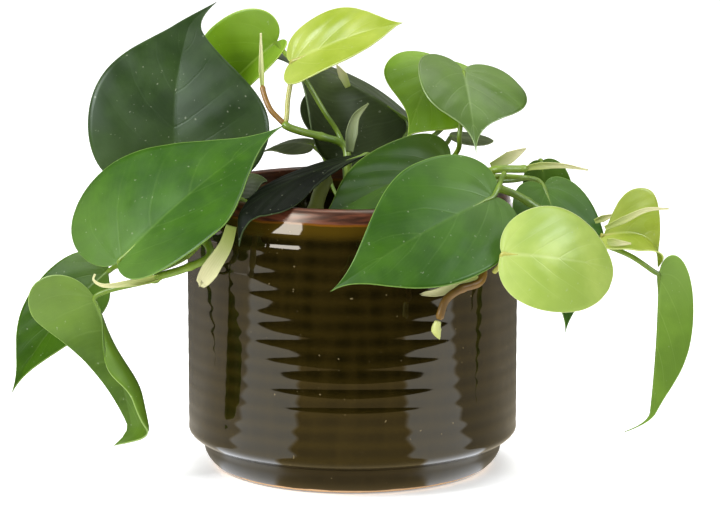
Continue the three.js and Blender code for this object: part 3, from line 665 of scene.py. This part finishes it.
def in_scene(bm, name, materials):
    """Turns a bmesh in millimetres into an object in metres, in the scene."""
    bmesh.ops.scale(bm, vec=(MM, MM, MM), verts=bm.verts)
    mesh = bpy.data.meshes.new(name)
    bm.to_mesh(mesh)
    bm.free()
    for material in materials:
        mesh.materials.append(material)
    made = bpy.data.objects.new(name, mesh)
    bpy.context.scene.collection.objects.link(made)
    return made


def publish(bm, name, nodes, materials):
    """Shows a bmesh as a piece of the plant, standing for its CAD nodes."""
    piece = in_scene(bm, name, materials)
    piece.data.shade_smooth()
    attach(piece, "root")
    if nodes:
        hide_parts(*nodes)


def bezier(controls, share):
    """A point on a cubic Bezier curve."""
    a, b, c, d = (Vector(point) for point in controls)
    rest = 1 - share
    return a * rest ** 3 + b * 3 * rest * rest * share + c * 3 * rest * share * share + d * share ** 3


def span_lengths(points):
    return [(Vector(b) - Vector(a)).length for a, b in zip(points, points[1:])]


def smooth_line(points, parts=16):
    """Places along a centripetal Catmull-Rom curve through the points, with each span in parts."""
    given = [Vector(point) for point in points]
    given = [2 * given[0] - given[1], *given, 2 * given[-1] - given[-2]]
    line = []
    for p0, p1, p2, p3 in zip(given, given[1:], given[2:], given[3:]):
        before, here, after = ((b - a).length ** 0.5 for a, b in ((p0, p1), (p1, p2), (p2, p3)))
        start = (p1 - p0) / before - (p2 - p0) / (before + here) + (p2 - p1) / here
        end = (p2 - p1) / here - (p3 - p1) / (here + after) + (p3 - p2) / after
        for i in range(parts):
            t = i / parts
            cube, square = t ** 3, t * t
            line.append(p1 * (2 * cube - 3 * square + 1) + start * here * (cube - 2 * square + t)
                        + p2 * (3 * square - 2 * cube) + end * here * (cube - square))
    return [*line, given[-2]]


def path_places(points, steps):
    """Evenly spaced places along the smooth line through the points, and the direction at each."""
    line = smooth_line(points)
    lengths = [0.0]
    for span in span_lengths(line):
        lengths.append(lengths[-1] + span)
    places, spot = [], 0
    for i in range(steps + 1):
        wanted = lengths[-1] * i / steps
        while spot < len(line) - 2 and lengths[spot + 1] < wanted:
            spot += 1
        share = (wanted - lengths[spot]) / (lengths[spot + 1] - lengths[spot])
        places.append(line[spot].lerp(line[spot + 1], share))
    ends = [places[0] * 2 - places[1], *places, places[-1] * 2 - places[-2]]
    ahead = [(after - before).normalized() for before, after in zip(ends, ends[2:])]
    return places, ahead


def carried_frames(ahead, face=None):
    """A crosswise direction at each step: towards the face where one is given, or else untwisted."""
    across = Vector(face) if face else ahead[0].orthogonal()
    frames = []
    for direction in ahead:
        side = across - direction * across.dot(direction)
        side.normalize()
        frames.append(side)
        if not face:
            across = side
    return frames


def tube(points, radius_at, steps, face=None, flatten=1.0):
    """A closed stalk along a smooth path, from a grid rolled up. radius_at takes a share of its length."""
    places, ahead = path_places(points, steps)
    frames = carried_frames(ahead, face)
    bm = bmesh.new()
    bmesh.ops.create_grid(bm, x_segments=STALK_SIDES, y_segments=steps, size=1)
    for vert in bm.verts:
        step = round((vert.co.y + 1) / 2 * steps)
        angle = math.pi * vert.co.x
        radius = radius_at(step / steps)
        if step in (0, steps):
            radius *= END_NARROWING
        side = ahead[step].cross(frames[step])
        vert.co = (places[step] + frames[step] * math.cos(angle) * radius * flatten
                   + side * math.sin(angle) * radius)
    bmesh.ops.remove_doubles(bm, verts=bm.verts, dist=MERGE)
    bmesh.ops.holes_fill(bm, edges=[edge for edge in bm.edges if edge.is_boundary], sides=STALK_SIDES)
    bmesh.ops.recalc_face_normals(bm, faces=bm.faces)
    return bm


def thickened(bm, thickness):
    """The sheet with its thickness, its underside in the second material."""
    mesh = bpy.data.meshes.new("sheet")
    bm.to_mesh(mesh)
    bm.free()
    # The underside gets a number of its own only where the mesh has a slot for it
    for _ in range(2):
        mesh.materials.append(None)
    sheet = bpy.data.objects.new("sheet", mesh)
    bpy.context.scene.collection.objects.link(sheet)
    shell = sheet.modifiers.new("thickness", "SOLIDIFY")
    shell.thickness = thickness
    shell.offset = 0
    shell.material_offset = 1
    shell.material_offset_rim = 0
    solid = bpy.data.meshes.new_from_object(sheet.evaluated_get(bpy.context.evaluated_depsgraph_get()))
    thick = bmesh.new()
    thick.from_mesh(solid)
    bpy.data.objects.remove(sheet)
    bpy.data.meshes.remove(mesh)
    bpy.data.meshes.remove(solid)
    return thick


# Leaf blades and petioles

def margin(shape, row):
    """The margin of a heart's half on the flat, for a row from 0 at the petiole to 1 at the tip."""
    lobe, widest = shape["lobe"], shape.get("widest", WIDEST)
    if row <= LOBE_SHARE:
        handles = [(lobe * behind, beside) for behind, beside in (INNER_HANDLE, OUTER_HANDLE)]
        return bezier([(0, 0), *handles, (widest, 1)], row / LOBE_SHARE)
    handles = [(shape["full"], FULL_HANDLE), (shape["tail"], shape.get("point", POINT))]
    return bezier([(widest, 1), *handles, (1, 0)], (row - LOBE_SHARE) / (1 - LOBE_SHARE))


def foot(row):
    """Where on the midrib a row's cross-line starts: those of the lobe all fan out from the petiole."""
    return max(0.0, (row - LOBE_SHARE) / (1 - LOBE_SHARE)) ** FOOT_POWER


def rolled(reach, slope, turn):
    """How far out and how high a place lies, on an arc that starts at a slope and turns as it goes."""
    if turn == 0:
        return reach * math.cos(slope), reach * math.sin(slope)
    last = slope + turn * reach
    return (math.sin(last) - math.sin(slope)) / turn, (math.cos(slope) - math.cos(last)) / turn


def bent_sheet(leaf, seed):
    """A function from a place on the flat heart to its place in space, in millimetres."""
    base, tip = Vector(leaf["base"]), Vector(leaf["tip"])
    bend = base.lerp(tip, 0.5) + Vector(leaf["arch"]) * 2
    hook = Vector(leaf.get("hook", (0, 0, 0)))
    fold_tip = leaf.get("fold_tip", leaf["fold"])
    size = min(1.0, (tip - base).length / FULL_RELIEF)

    def place(along, across, row):
        inside = min(max(along, 0.0), 1.0)
        ahead = ((bend - base) * (1 - inside) + (tip - bend) * inside) * 2
        spot = base.lerp(bend, inside).lerp(bend.lerp(tip, inside), inside)
        if along < 0:
            spot = base + (bend - base) * 2 * along
        spot = spot + hook * max(0.0, (along - HOOK_START) / (1 - HOOK_START)) ** 2
        ahead.normalize()
        right = Vector(leaf["right"])
        right = (right - ahead * right.dot(ahead)).normalized()
        up = right.cross(ahead)
        side = 0 if across < 0 else 1
        slope = mix(leaf["fold"][side], fold_tip[side], smoothstep(inside, FOLD_STARTS, FOLD_ENDS))
        turn = math.radians(leaf["roll"][side]) / leaf["width"][side]
        out, rise = rolled(abs(across) * leaf["width"][side], math.radians(slope), turn)
        share = min(1.0, abs(across))
        fan = (row - VEIN_BEND * share ** VEIN_POWER) * VEIN_COUNT
        rise -= QUILT * size * math.cos(2 * math.pi * fan) * share * (1 - share) * 2
        ripple = noise.noise(Vector((along * RIPPLES_ALONG, across * RIPPLES_ACROSS + 5 * side, seed * 3.7)))
        rise += RIPPLE * leaf.get("crinkle", 1) * size * ripple * share
        return spot + right * (out if across >= 0 else -out) + up * rise

    return place


def blade(leaf, place):
    """The leaf's upper face as a grid bent to its sheet, with the coordinates that its pattern follows."""
    bm = bmesh.new()
    layers = [bm.verts.layers.float.new(name) for name in BLADE_LAYERS]
    length = (Vector(leaf["tip"]) - Vector(leaf["base"])).length
    bmesh.ops.create_grid(bm, x_segments=2 * BLADE_COLUMNS, y_segments=BLADE_ROWS, size=1)
    for vert in bm.verts:
        side = 0 if vert.co.x < 0 else 1
        share = abs(vert.co.x)
        row = (vert.co.y + 1) / 2
        rim = margin(leaf["shape"][side], row)
        along = mix(foot(row), rim.x, share)
        across = math.copysign(rim.y * share, vert.co.x)
        width = leaf["width"][side]
        reach = abs(across) * width
        edge = (1 - share) * math.hypot((rim.x - foot(row)) * length, rim.y * width)
        for layer, value in zip(layers, (along, row, share, reach, edge)):
            vert[layer] = value
        vert.co = place(along, across, row)
    bmesh.ops.remove_doubles(bm, verts=bm.verts, dist=MERGE)
    bmesh.ops.dissolve_degenerate(bm, edges=bm.edges, dist=MERGE)
    return bm


def petiole(leaf, place):
    """The leaf's stalk, from under its blade to its vine."""
    start = [place(share, 0.0, LOBE_SHARE) for share in UNDER_BLADE]
    points = [*start, leaf["base"], *leaf["petiole"]]
    radius = leaf.get("stalk", PETIOLE_RADIUS)
    lengths = span_lengths(points)
    hidden = (sum(lengths[:len(start)]) + 2 * radius) / sum(lengths)

    def thickness(share):
        return radius * mix(UNDER_BLADE_SIZE, 1, smoothstep(share, 0, hidden))

    return tube(points, thickness, PETIOLE_STEPS * len(points))


def make_leaf(name, leaf, seed):
    """One leaf. Its seed gives it a ripple of its own."""
    place = bent_sheet(leaf, seed)
    bm = thickened(blade(leaf, place), BLADE_THICKNESS)
    stalk = petiole(leaf, place)
    for face in stalk.faces:
        face.material_index = 2
    joined = bpy.data.meshes.new("stalk")
    stalk.to_mesh(joined)
    stalk.free()
    bm.from_mesh(joined)
    bpy.data.meshes.remove(joined)
    look = leaf["look"]
    upper, under = LEAF_PAINTS[leaf.get("paint", look)]
    bark = STEM_LOOKS["young" if look == "young" else "green"]
    publish(bm, name + "_blade", [name], [upper, under, bark])


for order, (leaf_name, leaf_facts) in enumerate(LEAVES.items()):
    make_leaf(leaf_name, leaf_facts, order)


# Vines, each with a slight swelling at every joint where a leaf grows

def make_vine(name, vine):
    length = sum(span_lengths(vine["path"]))
    joints = max(1, round(length / NODE_SPACING))
    radius = vine.get("radius", VINE_RADIUS)

    def swelling(share):
        off = abs(share * joints - round(share * joints))
        return radius * (1 + NODE_SWELLING * math.exp(-(off / NODE_LENGTH) ** 2))

    look = vine.get("look", "green")
    bm = tube(vine["path"], swelling, round(length / VINE_STEP))
    publish(bm, name + "_bark", [name], [STEM_LOOKS[look]])


for vine_name, vine_facts in VINES.items():
    make_vine(vine_name, vine_facts)


# Sheaths: thin troughs that taper to a point, or end ragged where they are torn

def sheath_half_width(sheath, share):
    rising = mix(SHEATH_FOOT, 1, min(1, share / sheath["widest"]))
    falling = min(1, (1 - share) / (1 - sheath["widest"])) ** sheath.get("taper", SHEATH_TAPER)
    return max(TIP_RADIUS, rising * falling * sheath["width"] / 2)


def make_sheath(name, sheath):
    steps = SHEATH_STEPS * len(sheath["path"])
    places, ahead = path_places(sheath["path"], steps)
    frames = carried_frames(ahead, sheath.get("face", SHEATH_FACE))
    bm = bmesh.new()
    layers = [bm.verts.layers.float.new(layer) for layer in SHEATH_LAYERS]
    bmesh.ops.create_grid(bm, x_segments=SHEATH_COLUMNS, y_segments=steps, size=1)
    for vert in bm.verts:
        crosswise = vert.co.x
        step = round((vert.co.y + 1) / 2 * steps)
        for layer, value in zip(layers, ((crosswise + 1) / 2, step / steps)):
            vert[layer] = value
        angle = SHEATH_WRAP * crosswise
        radius = sheath_half_width(sheath, step / steps) / math.sin(SHEATH_WRAP)
        side = frames[step].cross(ahead[step])
        hollow = (math.cos(angle) - math.cos(SHEATH_WRAP / 2)) * min(1.0, sheath["flatten"] * 2)
        torn = noise.noise(Vector((crosswise * TORN_TEETH, 0, 0))) * smoothstep(step / steps, TORN_FROM, 1)
        vert.co = (places[step] + side * math.sin(angle) * radius + frames[step] * hollow * radius
                   + ahead[step] * torn * sheath.get("ragged", 0))
    skin = GREEN_SHEATH if sheath.get("green") else PALE_SHEATH
    publish(thickened(bm, SHEATH_THICKNESS), name + "_scale", [name], [skin, skin])


def make_bud(name, bud):
    bm = tube(bud["path"], lambda share: sheath_half_width(bud, share), BUD_STEPS, face=SHEATH_FACE,
              flatten=bud["flatten"])
    publish(bm, name + "_skin", [name], [STEM_LOOKS["bud"]])


for sheath_name, sheath_facts in SHEATHS.items():
    make = make_bud if sheath_name == "bud_front" else make_sheath
    make(sheath_name, sheath_facts)


# Pot

def pot_profile():
    """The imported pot's section, rounded, with its throwing rings as shallow waves."""
    foot_side = [(BASE_RADIUS + 1.6, 0.4), (BASE_RADIUS + 3, 1), (BASE_RADIUS + 4.5, 2),
                 (FOOT_RADIUS - 2.7, 3.5), (FOOT_RADIUS - 1.4, 5.2), (FOOT_RADIUS - 0.4, 7.2),
                 (FOOT_RADIUS, 9)]
    step = [(FOOT_RADIUS, FOOT_HEIGHT), (FOOT_RADIUS + 0.7, FOOT_HEIGHT + 0.4), (FOOT_RADIUS + 2.2, 12.6),
            (POT_RADIUS - 2.6, 13.9), (POT_RADIUS - 1.2, 15.1), (POT_RADIUS - 0.3, 16.3)]
    points = [(0, 0), (BASE_RADIUS - 3, 0), (BASE_RADIUS, 0), *foot_side, *step]
    wave_count = RING_COUNT * WAVE_STEPS
    for i in range(wave_count + 1):
        # The rings' depth drifts, as the pressure of a thrower's fingers does
        depth = RING_DEPTH * (0.85 + 0.35 * math.sin(i * 0.37))
        wave = 0.5 - 0.5 * math.cos(2 * math.pi * i / WAVE_STEPS)
        points.append((POT_RADIUS - depth * wave, mix(BODY_START, RINGS_END, i / wave_count)))
    # How far inside the pot's radius and how far under its top
    shoulder = [(0.03, 17.2), (0.12, 16.6), (0.45, 15.7), (0.85, 14.8), (0.98, 14.2), (1, 12.6),
                (1.02, 10.8), (1.25, 10), (2.05, 8), (3, LIP_DEPTH), (3.3, 5), (3.8, 3.4), (4.4, 2),
                (5.2, 0.8), (6.1, 0.2), (6.8, 0)]
    inner = [(8.6, 0), (10, 0.2), (10.6, 0.8), (WALL, 2.2)]
    points += [(POT_RADIUS - inward, POT_HEIGHT - down) for inward, down in shoulder + inner]
    points += [(POT_RADIUS - WALL, FLOOR + 6), (POT_RADIUS - WALL - 6, FLOOR), (0, FLOOR)]
    return points


def make_pot():
    bm = bmesh.new()
    verts = [bm.verts.new((radius, 0, height)) for radius, height in pot_profile()]
    edges = [bm.edges.new(pair) for pair in zip(verts, verts[1:])]
    bmesh.ops.spin(bm, geom=verts + edges, cent=(0, 0, 0), axis=(0, 0, 1), angle=2 * math.pi,
                   steps=POT_SIDES, use_merge=True)
    bmesh.ops.remove_doubles(bm, verts=bm.verts, dist=MERGE)
    bmesh.ops.recalc_face_normals(bm, faces=bm.faces)
    publish(bm, "pot_glazed", ["pot"], [iron_glaze()])


make_pot()


# Soil with clods, and grains of perlite on it

def soil_height(x, y):
    """The crumbly top of the soil."""
    clods = noise.fractal(Vector((x, y, 0)) / CLOD_WIDTH, 0.6, 2.2, 4)
    return SOIL_TOP - 0.6 + CLOD * clods


def make_soil():
    """A disc that dips at the wall, with a straight side below it and a flat underside."""
    radius = POT_RADIUS - WALL - GAP
    bm = bmesh.new()
    centre = bm.verts.new((0, 0, SOIL_TOP))
    edge = bm.verts.new((radius - 0.5, 0, SOIL_TOP))
    line = [bm.edges.new((centre, edge))]
    bmesh.ops.subdivide_edges(bm, edges=line, cuts=SOIL_RINGS)
    bmesh.ops.spin(bm, geom=list(bm.verts) + list(bm.edges), cent=(0, 0, 0), axis=(0, 0, 1),
                   angle=2 * math.pi, steps=SOIL_SIDES, use_merge=True)
    bmesh.ops.remove_doubles(bm, verts=bm.verts, dist=MERGE)
    for vert in bm.verts:
        settled = smoothstep(math.hypot(vert.co.x, vert.co.y), radius, radius - EDGE_WIDTH)
        vert.co.z = mix(SOIL_TOP - EDGE_FALL, soil_height(vert.co.x, vert.co.y), settled)
    rim = [e for e in bm.edges if e.is_boundary]
    wall = bmesh.ops.extrude_edge_only(bm, edges=rim)["geom"]
    for part in wall:
        if isinstance(part, bmesh.types.BMVert):
            part.co.z = SOIL_BOTTOM
    bmesh.ops.holes_fill(bm, edges=[e for e in bm.edges if e.is_boundary], sides=0)
    bmesh.ops.recalc_face_normals(bm, faces=bm.faces)
    publish(bm, "soil_crumb", ["soil"], [potting_soil()])


def make_perlite():
    """Grains spread evenly over the soil, each turn by the golden angle, and dented by noise."""
    bm = bmesh.new()
    for i in range(PERLITE_COUNT):
        angle = i * GOLDEN_ANGLE
        spread = PERLITE_REACH * math.sqrt((i + 0.5) / PERLITE_COUNT)
        x, y = spread * math.cos(angle), spread * math.sin(angle)
        size = PERLITE_SIZE * (0.6 + 0.6 * abs(noise.noise(Vector((i * 1.7, 0, 0)))))
        grain = bmesh.ops.create_icosphere(bm, subdivisions=1, radius=size)["verts"]
        for vert in grain:
            vert.co *= 1 + 0.35 * noise.noise(vert.co * 1.1 + Vector((i, 0, 0)))
        bmesh.ops.translate(bm, verts=grain, vec=(x, y, soil_height(x, y) + 0.2))
    publish(bm, "soil_perlite", [], [perlite()])


make_soil()
make_perlite()


# Studio

# In reflections the lit table ends here, and the dark room stands beyond it
TABLE_EDGE = 262
ROOM_WIDTH = 2400
ROOM_HEIGHT = 900
GLARE_REACH = 900
# Degrees round the pot from its front, brightness of the table's glare there, and how warm it is
GLARE_LEFT = ((0, 0.8, 1), (31, 0.8, 1), (34, 2.1, -0.2), (69, 2.1, -0.2), (72, 1, 0.4),
              (110, 0.85, 0.4), (132, 0.42, 0.4), (154, 0.16, 0.4), (180, 0.08, 0.4))
GLARE_RIGHT = ((0, 0.8, 1), (30, 0.8, 1), (33, 2.2, -0.2), (66, 2.2, -0.2), (69, 0.8, 0.55),
               (110, 0.7, 0.55), (132, 0.38, 0.55), (154, 0.15, 0.55), (180, 0.08, 0.4))
WARM_GLARE = (1, 0.79, 0.41)
# Each softbox: its name and the bearings of its sides, in degrees from the front towards the right
SOFTBOXES = (("softbox_left", -71, -33), ("softbox_right", 32, 67))
SOFTBOX_REACH = 250
SOFTBOX_BOTTOM = 185
SOFTBOX_TOP = 320
SOFTBOX_GLOW = 16
STUDIO_RADIUS = 3500
STUDIO_GLOW = 0.3
FLOOR_SIZE = 4000
# Each lamp: its name, its place, its width and depth in metres, and its power in watts
LAMPS = (("window_left", (-720, -560, 760), (0.35, 0.5), 9),
         ("softbox_top", (150, 200, 1300), (0.9, 0.9), 9))
LAMP_AIM = (0, 0, 90)


def stage_piece(name, bm, material):
    piece = in_scene(bm, name, [material])
    return piece


def stage_mirrored(name, bm, material):
    """A stage piece that only reflections see."""
    piece = stage_piece(name, bm, material)
    for rays in ("camera", "diffuse", "transmission", "volume_scatter", "shadow"):
        setattr(piece, "visible_" + rays, False)


def lit_acrylic():
    """White acrylic lit a little from below, so that shadows on it stay faint."""
    material, tree = new_material("lit_white_acrylic")
    sheet = add(tree, "ShaderNodeBsdfPrincipled", {
        "Base Color": "#f4f4f4", "Roughness": 0.9, "IOR": 1.3,
        "Emission Color": "#ffffff", "Emission Strength": 0.35})
    add(tree, "ShaderNodeOutputMaterial", {"Surface": sheet})
    return material


def glow_material(name, colour, strength):
    """An even glow, as of cloth or paint under strong light, or black felt with none."""
    material, tree = new_material(name)
    glow = add(tree, "ShaderNodeEmission", {"Color": colour, "Strength": strength})
    add(tree, "ShaderNodeOutputMaterial", {"Surface": glow})
    return material


def table_glow():
    """The light that the table throws back, which differs from place to place."""
    material, tree = new_material("lit_table_top")
    shown = add(tree, "ShaderNodeAttribute", output="Color", attribute_name="glare")
    glow = add(tree, "ShaderNodeEmission", {"Color": shown, "Strength": 1.0})
    add(tree, "ShaderNodeOutputMaterial", {"Surface": glow})
    return material


def make_floor():
    bm = bmesh.new()
    bmesh.ops.create_grid(bm, x_segments=1, y_segments=1, size=FLOOR_SIZE)
    stage_piece("studio_floor", bm, lit_acrylic())


def make_dim_studio():
    """The walls and ceiling of the studio, as dim as they look in gloss."""
    bm = bmesh.new()
    bmesh.ops.create_uvsphere(bm, u_segments=48, v_segments=24, radius=STUDIO_RADIUS)
    stage_mirrored("dim_studio", bm, glow_material("grey_wall", "#ffffff", STUDIO_GLOW))


def make_dark_room():
    """The unlit side of the studio, beyond the lit table."""
    bm = bmesh.new()
    bmesh.ops.create_grid(bm, x_segments=1, y_segments=1, size=1)
    for vert in bm.verts:
        vert.co = (vert.co.x * ROOM_WIDTH / 2, -TABLE_EDGE, (vert.co.y + 1) / 2 * ROOM_HEIGHT)
    stage_mirrored("dark_room", bm, glow_material("black_felt", "#050505", 0.0))


def round_pot(bearing, reach, height):
    """A place at a bearing in degrees from the front, counted towards the right."""
    turn = math.radians(bearing)
    return Vector((reach * math.sin(turn), -reach * math.cos(turn), height))


def glare_at(bearing):
    """The glare's colour at a bearing, between the nearest two rows of its table."""
    rows = GLARE_RIGHT if bearing > 0 else GLARE_LEFT
    for low, high in zip(rows, rows[1:]):
        if abs(bearing) <= high[0]:
            share = (abs(bearing) - low[0]) / (high[0] - low[0])
            break
    bright, warm = mix(low[1], high[1], share), mix(low[2], high[2], share)
    return (*(bright * mix(1, tone, warm) for tone in WARM_GLARE), 1)


def make_table_glare():
    """The table as the glaze mirrors it, brightest under the two softboxes."""
    bm = bmesh.new()
    glare = bm.verts.layers.float_color.new("glare")
    bmesh.ops.create_grid(bm, x_segments=360, y_segments=1, size=1)
    for vert in bm.verts:
        bearing = 180 * vert.co.x
        vert[glare] = glare_at(bearing)
        vert.co = round_pot(bearing, mix(BASE_RADIUS, GLARE_REACH, (vert.co.y + 1) / 2), 1)
    stage_mirrored("table_glare", bm, table_glow())


def make_softbox(name, start, end):
    """A tall white softbox panel between two bearings that glows only in reflections and lights nothing: a
    painted highlight, the bright patch on the glaze's shoulder.
    """
    bm = bmesh.new()
    bmesh.ops.create_grid(bm, x_segments=12, y_segments=1, size=1)
    for vert in bm.verts:
        height = mix(SOFTBOX_BOTTOM, SOFTBOX_TOP, (vert.co.y + 1) / 2)
        vert.co = round_pot(mix(start, end, (vert.co.x + 1) / 2), SOFTBOX_REACH, height)
    stage_mirrored(name, bm, glow_material(name + "_reflected_glow", "#eef2ff", SOFTBOX_GLOW))


def hold(name, data, at, aim):
    """Puts a lamp or a camera in the scene, turned to what it aims at."""
    holder = bpy.data.objects.new(name, data)
    holder.location = Vector(at) * MM
    holder.rotation_euler = (Vector(at) - Vector(aim)).to_track_quat("Z", "Y").to_euler()
    bpy.context.scene.collection.objects.link(holder)
    return holder


def make_lamp(name, at, size, power):
    lamp = bpy.data.lights.new(name, "AREA")
    lamp.shape = "RECTANGLE"
    lamp.size, lamp.size_y = size
    lamp.energy = power
    hold(name, lamp, at, LAMP_AIM).visible_camera = False


def make_world():
    """White light from all round."""
    world = bpy.data.worlds.new("white_room")
    bpy.context.scene.world = world
    world.use_nodes = True
    world.node_tree.nodes["Background"].inputs["Color"].default_value = srgb("#ffffff")
    world.node_tree.nodes["Background"].inputs["Strength"].default_value = 1.0


def make_camera():
    lens = bpy.data.cameras.new("photo_camera")
    lens.lens = LENS
    lens.sensor_width = SENSOR
    lens.clip_end = 100
    bpy.context.scene.camera = hold("photo_camera", lens, CAMERA_AT, CAMERA_AIM)


make_floor()
make_dim_studio()
make_dark_room()
make_table_glare()
for softbox in SOFTBOXES:
    make_softbox(*softbox)
for lamp_facts in LAMPS:
    make_lamp(*lamp_facts)
make_world()
make_camera()
bpy.context.scene.view_settings.view_transform = "Standard"
